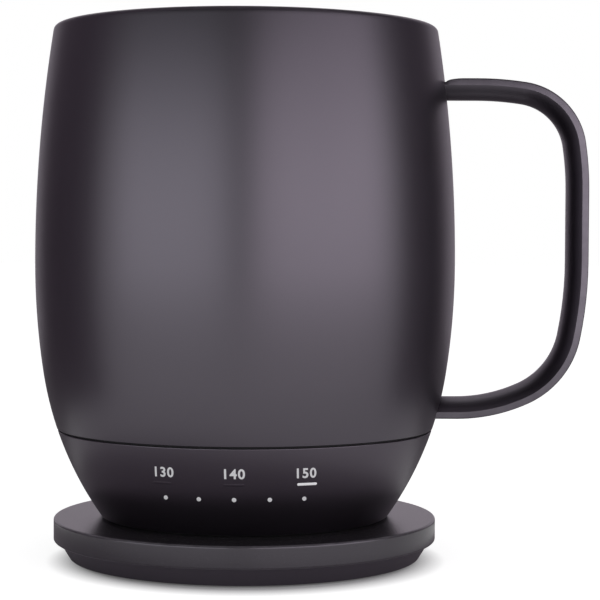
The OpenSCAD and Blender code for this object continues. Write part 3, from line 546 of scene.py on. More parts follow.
def cut_holes(piece: Piece, cutters: Sequence[Piece]) -> Piece:
    """Cuts other solids out of a piece.

    Args:
        piece: the solid to cut, which is replaced.
        cutters: the solids to take away, which are deleted.

    Returns:
        The cut piece.
    """
    name = piece.name
    for cutter in cutters:
        step = piece.modifiers.new("cut", "BOOLEAN")
        step.operation = "DIFFERENCE"
        step.solver = "EXACT"
        step.object = cutter
    bpy.context.view_layer.update()
    cut = applied(piece, name + "_cut")
    remove(*cutters)
    cut.name = name
    smooth(cut.data)
    return cut


def joined(name: str, parts: Sequence[Piece]) -> Piece:
    """Joins objects into one.

    Args:
        name: name of the result.
        parts: the objects, which are deleted.

    Returns:
        The joined object.
    """
    build = bmesh.new()
    for part in parts:
        build.from_mesh(part.data)
    remove(*parts)
    return new_object(name, mesh_from(build, name))


def dress(piece: Piece, body: str, slot: str, *nodes: str) -> Piece:
    """Gives a finished piece its material, its body and the nodes that it stands for.

    Args:
        piece: the finished piece.
        body: body that it moves with.
        slot: material slot that it takes its finish from.
        nodes: nodes that it replaces.

    Returns:
        The piece.
    """
    piece.data.materials.clear()
    piece.data.materials.append(FINISHES[slot].material())
    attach(piece, body)
    if nodes:
        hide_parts(*nodes)
    LOG.info("%s: %d faces on %s", piece.name, len(piece.data.polygons), body)
    return piece


def give_way(piece: Piece) -> None:
    """Gives a soft piece a mesh of its own.

    Args:
        piece: the dressed piece.
    """
    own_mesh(piece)


class NodeWork:
    """Geometry node tree under construction, with named inputs."""

    def __init__(self, name: str) -> None:
        """Starts a tree that takes and gives geometry."""
        self.tree = bpy.data.node_groups.new(name, "GeometryNodeTree")
        self.tree.interface.new_socket("Geometry", in_out="INPUT", socket_type="NodeSocketGeometry")
        self.tree.interface.new_socket("Geometry", in_out="OUTPUT", socket_type="NodeSocketGeometry")
        self.given = self.tree.nodes.new("NodeGroupInput")
        self.result = self.tree.nodes.new("NodeGroupOutput")

    def ask(self, name: str, kind: str) -> Socket:
        """Adds a named input.

        Args:
            name: name of the input.
            kind: socket type after NodeSocket, such as Float.

        Returns:
            Socket that gives the input's value.
        """
        self.tree.interface.new_socket(name, in_out="INPUT", socket_type="NodeSocket" + kind)
        return self.given.outputs[name]

    def node(self, kind: str, **inputs: NodeValue) -> Node:
        """Adds a node and links or sets its inputs.

        Args:
            kind: node type.
            inputs: sockets or values, by input name with _ for a space.

        Returns:
            The node.
        """
        return add_node(self.tree, kind, {name.replace("_", " "): value for name, value in inputs.items()})

    def math(self, operation: str, *values: NodeValue) -> Socket:
        """Adds a number operation.

        Args:
            operation: name of the operation.
            values: sockets or plain numbers.

        Returns:
            Socket with the result.
        """
        return add_node(self.tree, "ShaderNodeMath", dict(enumerate(values)), operation=operation).outputs[0]

    def square(self, value: Socket) -> Socket:
        """Socket with a value times itself."""
        return self.math("MULTIPLY", value, value)

    def attribute(self, name: str, kind: str = "FLOAT") -> Socket:
        """Socket that gives a named attribute of a kind."""
        made = add_node(self.tree, "GeometryNodeInputNamedAttribute", {"Name": name}, data_type=kind)
        return made.outputs["Attribute"]

    def end(self, geometry: Socket) -> Tree:
        """Realizes instances, sets the material and closes the tree.

        Args:
            geometry: socket with the made geometry.

        Returns:
            The finished tree.
        """
        material = self.ask("Finish", "Material")
        whole = self.node("GeometryNodeRealizeInstances", Geometry=geometry)
        painted = self.node("GeometryNodeSetMaterial", Geometry=whole.outputs[0], Material=material)
        self.tree.links.new(painted.outputs[0], self.result.inputs[0])
        return self.tree


def grown(name: str, tree: Tree, values: dict[str, object], slot: str,
          start: bpy.types.Mesh | None = None) -> Piece:
    """Runs a geometry node tree and keeps the result as a plain mesh.

    Args:
        name: name of the new object.
        tree: the tree.
        values: its inputs by name.
        slot: material slot of the finish that it sets.
        start: mesh that goes into the tree, if it takes one.

    Returns:
        The plain object.
    """
    source = new_object(name + "_source", start or bpy.data.meshes.new(name + "_source"))
    step = source.modifiers.new("grow", "NODES")
    step.node_group = tree
    values = {**values, "Finish": FINISHES[slot].material()}
    for socket in tree.interface.items_tree:
        if socket.in_out == "INPUT" and socket.name in values:
            step[socket.identifier] = values[socket.name]
    bpy.context.view_layer.update()
    made = applied(source, name)
    smooth(made.data)
    return made


def lights_tree() -> Tree:
    """Tree that repeats a light round the front of the base, with its upright lines upright from the front.

    Returns:
        Tree with the inputs Model, Count, First angle, Pitch and Level radius.
    """
    work = NodeWork("repeat_round_front")
    model = work.ask("Model", "Object")
    count = work.ask("Count", "Int")
    first = work.ask("First angle", "Float")
    pitch = work.ask("Pitch", "Float")
    level_r = work.ask("Level radius", "Float")
    index = work.node("GeometryNodeInputIndex").outputs[0]
    angle = work.math("ADD", first, work.math("MULTIPLY", index, pitch))
    points = work.node("GeometryNodePoints", Count=count)
    turn = work.node("ShaderNodeCombineXYZ", Z=angle)
    turned = work.node("FunctionNodeEulerToRotation", Euler=turn.outputs[0])
    shape = work.node("GeometryNodeObjectInfo", Object=model)
    repeated = work.node("GeometryNodeInstanceOnPoints", Points=points.outputs[0],
                         Instance=shape.outputs["Geometry"], Rotation=turned.outputs[0])
    whole = work.node("GeometryNodeRealizeInstances", Geometry=repeated.outputs[0])
    spot = work.node("GeometryNodeInputPosition").outputs[0]
    parts = work.node("ShaderNodeSeparateXYZ", Vector=spot)
    x, y, z = parts.outputs
    reach = work.math("SQRT", work.math("ADD", work.square(x), work.square(y)))
    upright = work.math("DIVIDE", work.math("MULTIPLY", x, level_r), reach)
    depth = work.math("SUBTRACT", work.square(reach), work.square(upright))
    back = work.math("MULTIPLY", work.math("SQRT", depth), -1.0)
    aimed = work.node("ShaderNodeCombineXYZ", X=upright, Y=back, Z=z)
    moved = work.node("GeometryNodeSetPosition", Geometry=whole.outputs[0], Position=aimed.outputs[0])
    return work.end(moved.outputs[0])


def strap_tree() -> Tree:
    """Tree that sweeps a section along a path and draws its outer side down near the ends.

    Returns:
        Tree with the input Section. The path carries the attributes outward and drop, and the
        section carries the attribute outer.
    """
    work = NodeWork("sweep_strap")
    section = work.ask("Section", "Object")
    path = work.node("GeometryNodeMeshToCurve", Mesh=work.given.outputs["Geometry"])
    shape = work.node("GeometryNodeObjectInfo", Object=section)
    ring = work.node("GeometryNodeMeshToCurve", Mesh=shape.outputs["Geometry"])
    swept = work.node("GeometryNodeCurveToMesh", Curve=path.outputs[0], Profile_Curve=ring.outputs[0],
                      Fill_Caps=True)
    amount = work.math("MULTIPLY", work.attribute("drop"), work.attribute("outer"))
    inputs = {0: work.attribute("outward", "FLOAT_VECTOR"), "Scale": work.math("MULTIPLY", amount, -1.0)}
    push = add_node(work.tree, "ShaderNodeVectorMath", inputs, operation="SCALE")
    moved = work.node("GeometryNodeSetPosition", Geometry=swept.outputs[0], Offset=push.outputs[0])
    return work.end(moved.outputs[0])


def coil_tree() -> Tree:
    """Tree that winds a round wire into a spring.

    Returns:
        Tree with the inputs Coil radius, Wire radius, Turns, Height and Place.
    """
    work = NodeWork("wind_spring")
    coil = work.ask("Coil radius", "Float")
    wire = work.ask("Wire radius", "Float")
    turns = work.ask("Turns", "Float")
    height = work.ask("Height", "Float")
    place = work.ask("Place", "Vector")
    spiral = work.node("GeometryNodeCurveSpiral", Resolution=COIL_STEPS, Rotations=turns, Start_Radius=coil,
                       End_Radius=coil, Height=height)
    section = work.node("GeometryNodeCurvePrimitiveCircle", Resolution=WIRE_SIDES, Radius=wire)
    wound = work.node("GeometryNodeCurveToMesh", Curve=spiral.outputs[0],
                      Profile_Curve=section.outputs["Curve"], Fill_Caps=True)
    moved = work.node("GeometryNodeTransform", Geometry=wound.outputs[0], Translation=place)
    return work.end(moved.outputs[0])


@dataclass
class Barrel:
    """Outer wall of the mug: three arcs, each tangent to the next."""

    belly_r: float = 46.3
    belly_z: float = 55.8
    upper_arc_r: float = 326.0
    lower_arc_r: float = 158.0
    foot_arc_r: float = 74.5
    foot_arc_z: float = 32.0

    def radius(self, height: float, inset: float = 0.0) -> float:
        """Radius of the wall.

        Args:
            height: height above the foot.
            inset: depth below the outer surface.

        Returns:
            Radius at that height.
        """
        rise = height - self.belly_z
        if rise >= 0.0:
            return self.belly_r - self.upper_arc_r + math.sqrt((self.upper_arc_r - inset) ** 2 - rise**2)
        lower_x = self.belly_r - self.lower_arc_r
        fall = (self.foot_arc_z - self.belly_z) / self.lower_arc_r
        run = math.sqrt(1.0 - fall**2)
        if height >= self.foot_arc_z - fall * inset:
            return lower_x + math.sqrt((self.lower_arc_r - inset) ** 2 - rise**2)
        foot_x = lower_x + run * (self.lower_arc_r - self.foot_arc_r)
        foot_z = self.foot_arc_z - fall * self.foot_arc_r
        return foot_x + math.sqrt((self.foot_arc_r - inset) ** 2 - (height - foot_z) ** 2)

    def wall(self, low: float, high: float, inset: float = 0.0, spacing: float = 1.3) -> list[Corner]:
        """Corners along the wall between two heights, in the order of the heights.

        Args:
            low: first height.
            high: last height.
            inset: depth below the outer surface.
            spacing: greatest height between neighbours.

        Returns:
            Corners with no rounding.
        """
        count = max(1, math.ceil(abs(high - low) / spacing))
        heights = [low + (high - low) * step / count for step in range(count + 1)]
        return [(self.radius(height, inset), height, 0.0) for height in heights]

    def on_wall(self, across: float, angle: float, height: float, proud: float) -> Vector:
        """Place on the wall.

        Args:
            across: distance round the wall from the angle.
            angle: angle round the axis.
            height: height above the foot.
            proud: height above the surface.

        Returns:
            The place, with its height counted from the foot.
        """
        reach = self.radius(height)
        turn = math.radians(angle) + across / reach
        return Vector(((reach + proud) * math.cos(turn), (reach + proud) * math.sin(turn), height))


@dataclass
class MugBody:
    """Outer shell with its handle, inner cup and seam seal."""

    barrel: Barrel
    lift: float
    height: float
    shell_low: float = 19.8
    shell_t: float = 0.8
    rim_t: float = 1.0
    lip_round: float = 1.2
    edge_round: float = 0.12
    neck_r: float = 39.0
    mouth_r: float = 38.2
    mouth_h: float = 7.8
    slope_h: float = 3.0
    cup_t: float = 0.8
    cup_inset: float = 3.4
    cup_under: float = 24.7
    cup_corner: float = 8.0
    seam_low: float = 19.4
    seam_depth: float = 0.4
    seam_w: float = 2.0
    strap_w: float = 12.0
    strap_band: float = 1.5
    strap_depth: float = 3.0
    strap_chamfer: float = 0.35
    strap_lean: float = 5.5
    strap_drop: float = 12.7
    strap_reach: float = 27.3
    ease_bend: float = 67.0
    ease_turn: float = 8.8
    top_bend: float = 14.1
    straight: float = 15.5
    lower_bend: float = 84.8
    lower_turn: float = 11.3
    bottom_bend: float = 18.4
    bottom_turn: float = 53.8
    tail_bend: float = 35.8
    tail_turn: float = 24.8
    root_inset: float = 0.6
    shoulder_l: float = 4.0
    shoulder_drop: float = 0.8
    lip_clear: float = 2.5
    edge_clear: float = 0.6
    lip_steps: int = 8
    corner_clear: float = 1.2
    slope_clear: float = 1.5
    slope_round: float = 1.0
    mouth_round: float = 0.3
    cup_steps: int = 10
    cup_spacing: float = 1.6
    hidden_spacing: float = 3.0
    seam_bulge: float = 0.1
    path_step: float = 0.25
    straight_steps: int = 12
    bend_step: float = 2.0
    least_steps: int = 6
    edge_steps: int = 6
    flat_steps: int = 12
    round_steps: int = 24

    def build(self) -> None:
        """Builds and dresses every piece of the body."""
        dress(self.shell(), "mug", "body_coat", "outer_shell")
        dress(self.cup(), "mug", "cup_steel", "inner_cup")
        dress(self.seal(), "mug", "black_silicone", "seam_gasket")
        dress(self.strap(), "mug", "body_coat", "handle")

    def shell(self) -> Piece:
        """Outer shell with its rounded lip."""
        wall_top = self.height - self.lip_clear * self.lip_round
        inner_top = self.height - self.rim_t
        inner_r = self.barrel.radius(inner_top, self.shell_t)
        lower_edge = (self.barrel.radius(self.shell_low), self.shell_low, self.edge_round)
        corners = [
            lower_edge,
            *self.barrel.wall(self.shell_low + self.edge_clear, wall_top),
            (self.barrel.radius(self.height), self.height, self.lip_round),
            (self.neck_r, self.height, self.edge_round),
            (self.neck_r, inner_top, 0.0),
            (inner_r, inner_top, 0.0),
            *self.barrel.wall(inner_top - self.edge_clear, self.shell_low, self.shell_t, self.hidden_spacing),
        ]
        return lathe("outer_wall", rounded(corners, self.lip_steps), self.lift)

    def cup(self) -> Piece:
        """Inner cup, with its straight mouth and rounded bottom corner."""
        mouth_z = self.height - self.mouth_h
        slope_z = mouth_z - self.slope_h
        floor_z = self.cup_under + self.cup_t
        inner = self.cup_inset + self.cup_t
        corner_z = self.cup_under + self.corner_clear * self.cup_corner
        wall_top = slope_z - self.slope_clear
        corners = [
            (0.0, self.cup_under, 0.0),
            (self.barrel.radius(self.cup_under, self.cup_inset), self.cup_under, self.cup_corner),
            *self.barrel.wall(corner_z, wall_top, self.cup_inset, self.hidden_spacing),
            (self.barrel.radius(slope_z, self.cup_inset), slope_z, self.slope_round),
            (self.neck_r, mouth_z, self.slope_round),
            (self.neck_r, self.height, self.edge_round),
            (self.mouth_r, self.height, self.mouth_round),
            (self.mouth_r, mouth_z, self.slope_round),
            (self.barrel.radius(slope_z, inner), slope_z, self.slope_round),
            *self.barrel.wall(wall_top, corner_z, inner, self.cup_spacing),
            (self.barrel.radius(floor_z, inner), floor_z, self.cup_corner - self.cup_t),
            (0.0, floor_z, 0.0),
        ]
        return lathe("cup", rounded(corners, self.cup_steps), self.lift)

    def seal(self) -> Piece:
        """Seal ring, set back in the seam."""
        out_r = self.barrel.radius(self.seam_low, self.seam_depth)
        in_r = out_r - self.seam_w
        corners = [
            (in_r, self.seam_low, 0.0),
            (out_r - self.seam_bulge, self.seam_low, 0.0),
            (out_r, (self.seam_low + self.shell_low) / 2, 0.0),
            (out_r - self.seam_bulge, self.shell_low, 0.0),
            (in_r, self.shell_low, 0.0),
        ]
        return lathe("seam_seal", rounded(corners), self.lift)

    def strap(self) -> Piece:
        """Handle strap, swept along its path by geometry nodes."""
        section = self._strap_section()
        made = grown("handle_strap", strap_tree(), {"Section": section}, "body_coat", self._strap_path())
        remove(section)
        build = bmesh.new()
        build.from_mesh(made.data)
        remove(made)
        return new_object("handle_strap", mesh_from(build, "handle_strap"))

    def _strap_path(self) -> bpy.types.Mesh:
        """Path of the strap's flat side, with the attributes that shape its ends.

        Returns:
            Mesh of one chain of edges from the upper joint to the lower one.
        """
        wall_z = self.height - self.strap_drop
        corner = ((self.ease_bend, self.ease_turn), (self.top_bend, 90.0 - 2 * self.ease_turn),
                  (self.ease_bend, self.ease_turn))
        trial = [(0.0, 0.0, 0.0)]
        for radius, turn in corner:
            trial.extend(self._bend(trial[-1], radius, turn))
        corner_x = self.barrel.belly_r + self.strap_reach - trial[-1][0]
        start_x = self.barrel.radius(wall_z, self.root_inset)
        count = math.ceil((corner_x - start_x) / self.path_step)
        spots = [(start_x + (corner_x - start_x) * step / count, wall_z, 0.0) for step in range(count + 1)]
        for radius, turn in (*corner, (0.0, self.straight), (self.lower_bend, self.lower_turn),
                             (self.bottom_bend, self.bottom_turn), (self.tail_bend, self.tail_turn)):
            spots.extend(self._bend(spots[-1], radius, turn))
        x, z, heading = spots[-1]
        ahead = Vector((math.cos(math.radians(heading)), math.sin(math.radians(heading))))
        while x > self.barrel.radius(z, self.root_inset):
            x += ahead.x * self.path_step
            z += ahead.y * self.path_step
            spots.append((x, z, heading))
        mesh = bpy.data.meshes.new("strap_path")
        places = [Vector((x, 0.0, z + self.lift)) * MM for x, z, _ in spots]
        mesh.from_pydata(places, [(index, index + 1) for index in range(len(places) - 1)], [])
        mesh.attributes.new("outward", "FLOAT_VECTOR", "POINT")
        mesh.attributes.new("drop", "FLOAT", "POINT")
        for index, (x, z, heading) in enumerate(spots):
            turn = math.radians(heading)
            gap = x - self.barrel.radius(z)
            mesh.attributes["outward"].data[index].vector = (-math.sin(turn), 0.0, math.cos(turn))
            upper = z > self.height / 2
            mesh.attributes["drop"].data[index].value = self._shoulder(gap) * MM if upper else 0.0
        return mesh

    def _shoulder(self, gap: float) -> float:
        """How far the outer side is drawn down at a distance from the wall."""
        share = min(max(1.0 - gap / self.shoulder_l, 0.0), 1.0)
        return self.shoulder_drop * (1.0 - math.sqrt(1.0 - share**2))

    def _bend(self, spot: PathSpot, radius: float, turn: float) -> list[PathSpot]:
        """Places along a downward bend, or along a straight run where the radius is 0.

        Args:
            spot: (x, z, heading) where it starts.
            radius: radius of the bend.
            turn: angle of the bend, or length of the straight run.

        Returns:
            Places after the start.
        """
        x, z, heading = spot
        count = self.straight_steps
        if radius != 0.0:
            count = max(self.least_steps, round(turn / self.bend_step))
        made = []
        for step in range(1, count + 1):
            part = turn * step / count
            if radius == 0.0:
                turned = math.radians(heading)
                made.append((x + part * math.cos(turned), z + part * math.sin(turned), heading))
                continue
            start, end = math.radians(heading), math.radians(heading - part)
            made.append((x + radius * (math.sin(start) - math.sin(end)),
                         z - radius * (math.cos(start) - math.cos(end)), heading - part))
        return made

    def _strap_section(self) -> Piece:
        """Section of the strap: flat outside, round inside, with eased outer edges and leaning sides.

        Returns:
            Object whose mesh is one closed chain, with across on X and inward on Y.
        """
        half = self.strap_w / 2
        inner_r = (half**2 + self.strap_depth**2) / (2 * self.strap_depth)
        spread = math.asin(half / inner_r)
        ease = self.strap_chamfer
        lean = math.radians(self.strap_lean)
        side = self.strap_band - ease + ease * math.sin(lean)
        flat = half - side * math.tan(lean) - ease * math.cos(lean)
        edge = []
        for step in range(self.edge_steps + 1):
            turn = (math.pi / 2 - lean) * step / self.edge_steps
            edge.append((flat + ease * math.sin(turn), -self.strap_band + ease - ease * math.cos(turn)))
        outline: list[Spot] = []
        for step in range(1, self.flat_steps):
            outline.append((flat * (2 * step / self.flat_steps - 1), -self.strap_band))
        outline += edge
        for step in range(self.round_steps + 1):
            angle = spread - 2 * spread * step / self.round_steps
            inward = inner_r * math.cos(angle) - inner_r + self.strap_depth
            outline.append((inner_r * math.sin(angle), inward))
        outline += [(-across, inward) for across, inward in reversed(edge)]
        mesh = bpy.data.meshes.new("strap_section")
        places = [Vector((across, inward, 0.0)) * MM for across, inward in outline]
        count = len(places)
        mesh.from_pydata(places, [(index, (index + 1) % count) for index in range(count)], [])
        mesh.attributes.new("outer", "FLOAT", "POINT")
        mesh.attributes.new("wear", "FLOAT", "POINT")
        for index, (across, inward) in enumerate(outline):
            mesh.attributes["outer"].data[index].value = min(max(-inward / self.strap_band, 0.0), 1.0)
            beside = abs(across) > flat and inward <= TINY
            mesh.attributes["wear"].data[index].value = 1.0 if beside else 0.0
        return new_object("strap_section", mesh)


@dataclass
class MugBase:
    """Base shell with its lights, numbers, foot ring, cover, contacts and button."""

    barrel: Barrel
    lift: float
    low: float = 0.4
    high: float = 19.4
    wall_t: float = 2.2
    floor: float = 2.4
    cover_hole_r: float = 22.81
    edge_round: float = 0.16
    ring_in_r: float = 27.61
    ring_out_r: float = 30.61
    ring_t: float = 1.2
    dot_z: float = 8.5
    dot_d: float = 0.94
    dot_pitch: float = 11.35
    dot_count: int = 5
    front: float = -90.0
    bar_z: float = 11.7
    bar_w: float = 4.3
    bar_h: float = 0.55
    number_z: float = 14.0
    number_h: float = 2.1
    number_pitch: float = 21.6
    numbers: tuple[str, ...] = ("130", "140", "150")
    ink_t: float = 0.02
    cover_r: float = 22.61
    cover_face: float = 0.8
    contact_w: float = 3.0
    contact_t: float = 0.6
    contact_places: tuple[float, float] = (11.5, 19.0)
    button_r: float = 5.0
    button_face: float = 1.0
    button_top: float = 3.4
    button_flange_r: float = 6.2
    button_way: float = 0.6
    boot_t: float = 0.9
    dish: float = 0.15
    mark_r: float = 1.7
    mark_w: float = 0.36
    mark_opening: float = 38.0
    mark_steps: int = 60
    mark_bar: tuple[float, ...] = (1.15, 0.7, 0.3)
    dish_share: float = 0.86
    dish_steps: int = 8
    button_round: float = 0.3
    flange_round: float = 0.1
    boot_round: float = 0.1
    groove_round: float = 0.08
    heel_round: float = 0.4
    heel_clear: float = 0.9
    edge_clear: float = 0.6
    wall_spacing: float = 0.8
    inner_clear: float = 1.0
    inner_spacing: float = 2.0
    hole_round: float = 0.2
    tread_round: float = 0.35
    guide_crown: float = 0.03
    guide_depth: float = 0.6
    guide_rows: int = 6
    guide_end_steps: int = 8
    guide_steps: int = 12
    guide_digits: int = 6
    crown_power: int = 4
    number_scale: float = 1.38
    number_space: float = 1.14
    number_weight: float = 0.075
    cover_flange_w: float = 2.8
    cover_flange_t: float = 1.2
    cover_flange_in: float = 1.6
    cover_inner_round: float = 0.2
    cover_outer_round: float = 0.3
    button_fit: float = 0.06
    contact_edge: float = 0.05
    contact_fit: float = 0.03
    contact_round: float = 0.12

    def build(self) -> None:
        """Builds and dresses every piece of the base."""
        dress(self.shell(), "mug", "base_coat", "base_shell")
        dress(self.foot(), "mug", "black_silicone", "foot_ring")
        self.lights()
        # The numbers take the glowing pale finish: painted light on print
        dress(self.number_print(), "mug", "light_pale")
        dress(self.cover(), "mug", "cover_plastic", "bottom_cover")
        for place, name in zip(self.contact_places, ("inner", "outer")):
            dress(self.contact(place, name), "mug", "gold_contact", "contact_ring_" + name)
        dress(self.button(), "button", "button_plastic", "power_button")
        dress(self.power_mark(), "button", "white_plastic")
        low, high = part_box("button_boot")
        boot = dress(self.boot(low.z / MM, high.z / MM), "mug", "black_silicone", "button_boot")
        give_way(boot)

    def shell(self) -> Piece:
        """Base shell, with its upper edge eased and the foot ring's groove underneath."""
        wall_low = self.low + self.heel_clear
        inner_high, inner_low = self.high - self.inner_clear, self.floor + self.inner_clear
        corners = [
            (self.ring_out_r, self.low, self.groove_round),
            (self.barrel.radius(self.low), self.low, self.heel_round),
            *self.barrel.wall(wall_low, self.high - self.edge_clear, spacing=self.wall_spacing),
            (self.barrel.radius(self.high), self.high, self.edge_round),
            (self.barrel.radius(self.high, self.wall_t), self.high, 0.0),
            *self.barrel.wall(inner_high, inner_low, self.wall_t, self.inner_spacing),
            (self.barrel.radius(self.floor, self.wall_t), self.floor, 0.0),
            (self.cover_hole_r, self.floor, 0.0),
            (self.cover_hole_r, self.low, self.hole_round),
            (self.ring_in_r, self.low, self.groove_round),
            (self.ring_in_r, self.ring_t, 0.0),
            (self.ring_out_r, self.ring_t, 0.0),
        ]
        return lathe("base_wall", rounded(corners), self.lift)

    def foot(self) -> Piece:
        """Foot ring with rounded treads."""
        corners = band(self.ring_in_r, self.ring_out_r, 0.0, self.ring_t, self.tread_round)
        return lathe("foot_tread", rounded(corners), self.lift)

    def _inlay(self, name: str, length: float, tall: float, height: float) -> Piece:
        """Light guide with round ends, seated in the wall at angle 0.

        Args:
            name: name of the object.
            length: length round the wall.
            tall: height of the guide.
            height: height of its middle above the foot.

        Returns:
            The closed model.
        """
        end_r = tall / 2
        straight = length / 2 - end_r
        rows = self.guide_rows
        turns = [math.pi / 2 * step / self.guide_end_steps for step in range(self.guide_end_steps + 1)]
        stations = [-straight - end_r * math.cos(turn) for turn in turns]
        if straight > 0.0:
            stations += [straight * (2 * step / self.guide_steps - 1) for step in range(1, self.guide_steps)]
        stations += [straight + end_r * math.sin(turn) for turn in turns]
        stations = sorted(set(round(station, self.guide_digits) for station in stations))
        build = bmesh.new()
        sheets: list[Sheet] = []
        for crown in (self.guide_crown, -self.guide_depth):
            sheet = []
            for across in stations:
                past = max(abs(across) - straight, 0.0)
                half = math.sqrt(max(end_r**2 - past**2, 0.0))
                column = []
                for row in range(rows + 1):
                    rise = half * (2 * row / rows - 1)
                    edge = 1.0 - (math.hypot(past, rise) / end_r) ** self.crown_power
                    lifted = crown * edge if crown > 0.0 else crown
                    place = self.barrel.on_wall(across, 0.0, height + rise, lifted)
                    column.append(build.verts.new((place + Vector((0.0, 0.0, self.lift))) * MM))
                sheet.append(column)
            sheets.append(sheet)
        close_sheets(build, *sheets)
        bmesh.ops.remove_doubles(build, verts=build.verts, dist=MERGE_M)
        bmesh.ops.dissolve_degenerate(build, edges=build.edges, dist=MERGE_M)
        return new_object(name, mesh_from(build, name))

    def lights(self) -> None:
        """Round lights and bars, repeated round the front by geometry nodes."""
        tree = lights_tree()
        middle = (self.dot_count - 1) / 2
        first = math.radians(self.front - middle * self.dot_pitch)
        pitch = math.radians(self.dot_pitch)
        bar_pitch = 2 * pitch
        dot = self._inlay("dot_model", self.dot_d, self.dot_d, self.dot_z)
        bar = self._inlay("bar_model", self.bar_w, self.bar_h, self.bar_z)
        rows = (
            ("charge_lights", dot, self.dot_z, self.dot_count, first, pitch, "light_pale", "charge_dots"),
            ("unlit_bars", bar, self.bar_z, 2, first, bar_pitch, "light_dark", "setting_bars_unlit"),
            ("lit_bar", bar, self.bar_z, 1, first + 2 * bar_pitch, bar_pitch, "light_lit", "setting_bar_lit"),
        )
        for name, model, height, count, start, step, slot, node in rows:
            values = {"Model": model, "Count": count, "First angle": start, "Pitch": step,
                      "Level radius": self.barrel.radius(height) * MM}
            dress(grown(name, tree, values, slot), "mug", slot, node)
        remove(dot, bar)

    def number_print(self) -> Piece:
        """Plain setting numbers, printed on the wall above the bars."""
        parts = []
        for index, text in enumerate(self.numbers):
            angle = self.front + (index - 1) * self.number_pitch
            curve = bpy.data.curves.new("number_text", "FONT")
            curve.body = text
            curve.align_x = "CENTER"
            curve.align_y = "CENTER"
            curve.size = self.number_h * self.number_scale
            curve.space_character = self.number_space
            curve.offset = self.number_weight
            curve.extrude = self.ink_t / 2
            holder = bpy.data.objects.new("number_text", curve)
            bpy.context.scene.collection.objects.link(holder)
            bpy.context.view_layer.update()
            flat = applied(holder, "number_flat")
            for vert in flat.data.vertices:
                level = self.barrel.on_wall(vert.co.x, angle, self.number_z, 0.0)
                height = self.number_z + vert.co.y
                reach = self.barrel.radius(height) + self.ink_t + vert.co.z
                place = Vector((level.x, -math.sqrt(reach**2 - level.x**2), height + self.lift))
                vert.co = place * MM
            parts.append(flat)
        return joined("setting_numbers", parts)

    def cover(self) -> Piece:
        """Bottom cover, with a groove for each contact ring."""
        half = self.contact_w / 2
        face = self.cover_face
        groove = face + self.contact_t
        flange_r = self.cover_hole_r + self.cover_flange_w
        flange_in_r = self.cover_r - self.cover_flange_in
        flange_top = self.floor + self.cover_flange_t
        hole_r = self.button_r + self.button_fit
        corners: list[Corner] = [(hole_r, face, self.cover_inner_round)]
        for place in self.contact_places:
            corners += [(place - half, face, self.contact_edge), (place - half, groove, 0.0),
                        (place + half, groove, 0.0), (place + half, face, self.contact_edge)]
        corners += [
            (self.cover_r, face, self.cover_outer_round),
            (self.cover_r, self.floor, 0.0),
            (flange_r, self.floor, 0.0),
            (flange_r, flange_top, self.cover_inner_round),
            (flange_in_r, flange_top, self.cover_inner_round),
            (flange_in_r, self.floor, 0.0),
            (hole_r, self.floor, 0.0),
        ]
        return lathe("cover_plate", rounded(corners), self.lift)

    def contact(self, place: float, name: str) -> Piece:
        """Contact ring with eased edges.

        Args:
            place: middle radius.
            name: which ring.

        Returns:
            The ring.
        """
        half = self.contact_w / 2 - self.contact_fit
        top = self.cover_face + self.contact_t
        corners = band(place - half, place + half, self.cover_face, top, self.contact_round)
        return lathe("contact_band_" + name, rounded(corners), self.lift)

    def button(self) -> Piece:
        """Power button with a dished face."""
        dish_r = self.button_r * self.dish_share
        corners: list[Corner] = []
        for step in range(self.dish_steps):
            corners.append((dish_r * step / self.dish_steps, self._dish_height(step / self.dish_steps), 0.0))
        corners += [
            (dish_r, self.button_face, 0.0),
            (self.button_r, self.button_face, self.button_round),
            (self.button_r, self.floor, 0.0),
            (self.button_flange_r, self.floor, self.flange_round),
            (self.button_flange_r, self.button_top, self.flange_round),
            (0.0, self.button_top, 0.0),
        ]
        return lathe("button_cap", rounded(corners), self.lift, BUTTON_STEPS)

    def _dish_height(self, share: float) -> float:
        """Height of the button's face at a share of the dish's radius."""
        return self.button_face + self.dish * math.cos(math.pi / 2 * share)

    def boot(self, low: float, high: float) -> Piece:
        """Silicone boot between the button and the main board.

        Args:
            low: height of its lower edge.
            high: height of its upper edge.

        Returns:
            The ring.
        """
        outer_r = self.button_flange_r
        corners = band(outer_r - self.boot_t, outer_r, low, high, self.boot_round, self.boot_round)
        return lathe("boot_ring", rounded(corners), steps=BUTTON_STEPS)

    def power_mark(self) -> Piece:
        """Plain power mark printed on the button: an open ring and a bar."""
        build = bmesh.new()
        opening = self.mark_opening
        columns = []
        for step in range(self.mark_steps + 1):
            angle = math.radians(-90.0 + opening + (360.0 - 2 * opening) * step / self.mark_steps)
            columns.append([(reach * math.cos(angle), reach * math.sin(angle))
                            for reach in (self.mark_r - self.mark_w, self.mark_r)])
        bar_w = self.mark_w / 2
        bars = [[(side, -self.mark_r * share) for side in (-bar_w, bar_w)] for share in self.mark_bar]
        for strip in (columns, bars):
            self._print_strip(build, strip)
        return new_object("power_mark", mesh_from(build, "power_mark"))

    def _print_strip(self, build: bmesh.types.BMesh, strip: Sequence[Sequence[Spot]]) -> None:
        """Adds a thin printed strip that follows the button's dish.

        Args:
            build: bmesh that gets the strip.
            strip: rows of (x, y) pairs across the strip.
        """
        sheets = []
        for thick in (0.0, self.ink_t):
            rows = []
            for pair in strip:
                row = []
                for x, y in pair:
                    share = min(math.hypot(x, y) / (self.button_r * self.dish_share), 1.0)
                    z = self._dish_height(share) - thick
                    row.append(build.verts.new(Vector((x, y, z + self.lift)) * MM))
                rows.append(row)
            sheets.append(rows)
        for index in (0, len(strip) - 1):
            ends = [sheet[index] for sheet in sheets]
            build.faces.new((*ends[0], *reversed(ends[1])))
        close_sheets(build, *sheets)


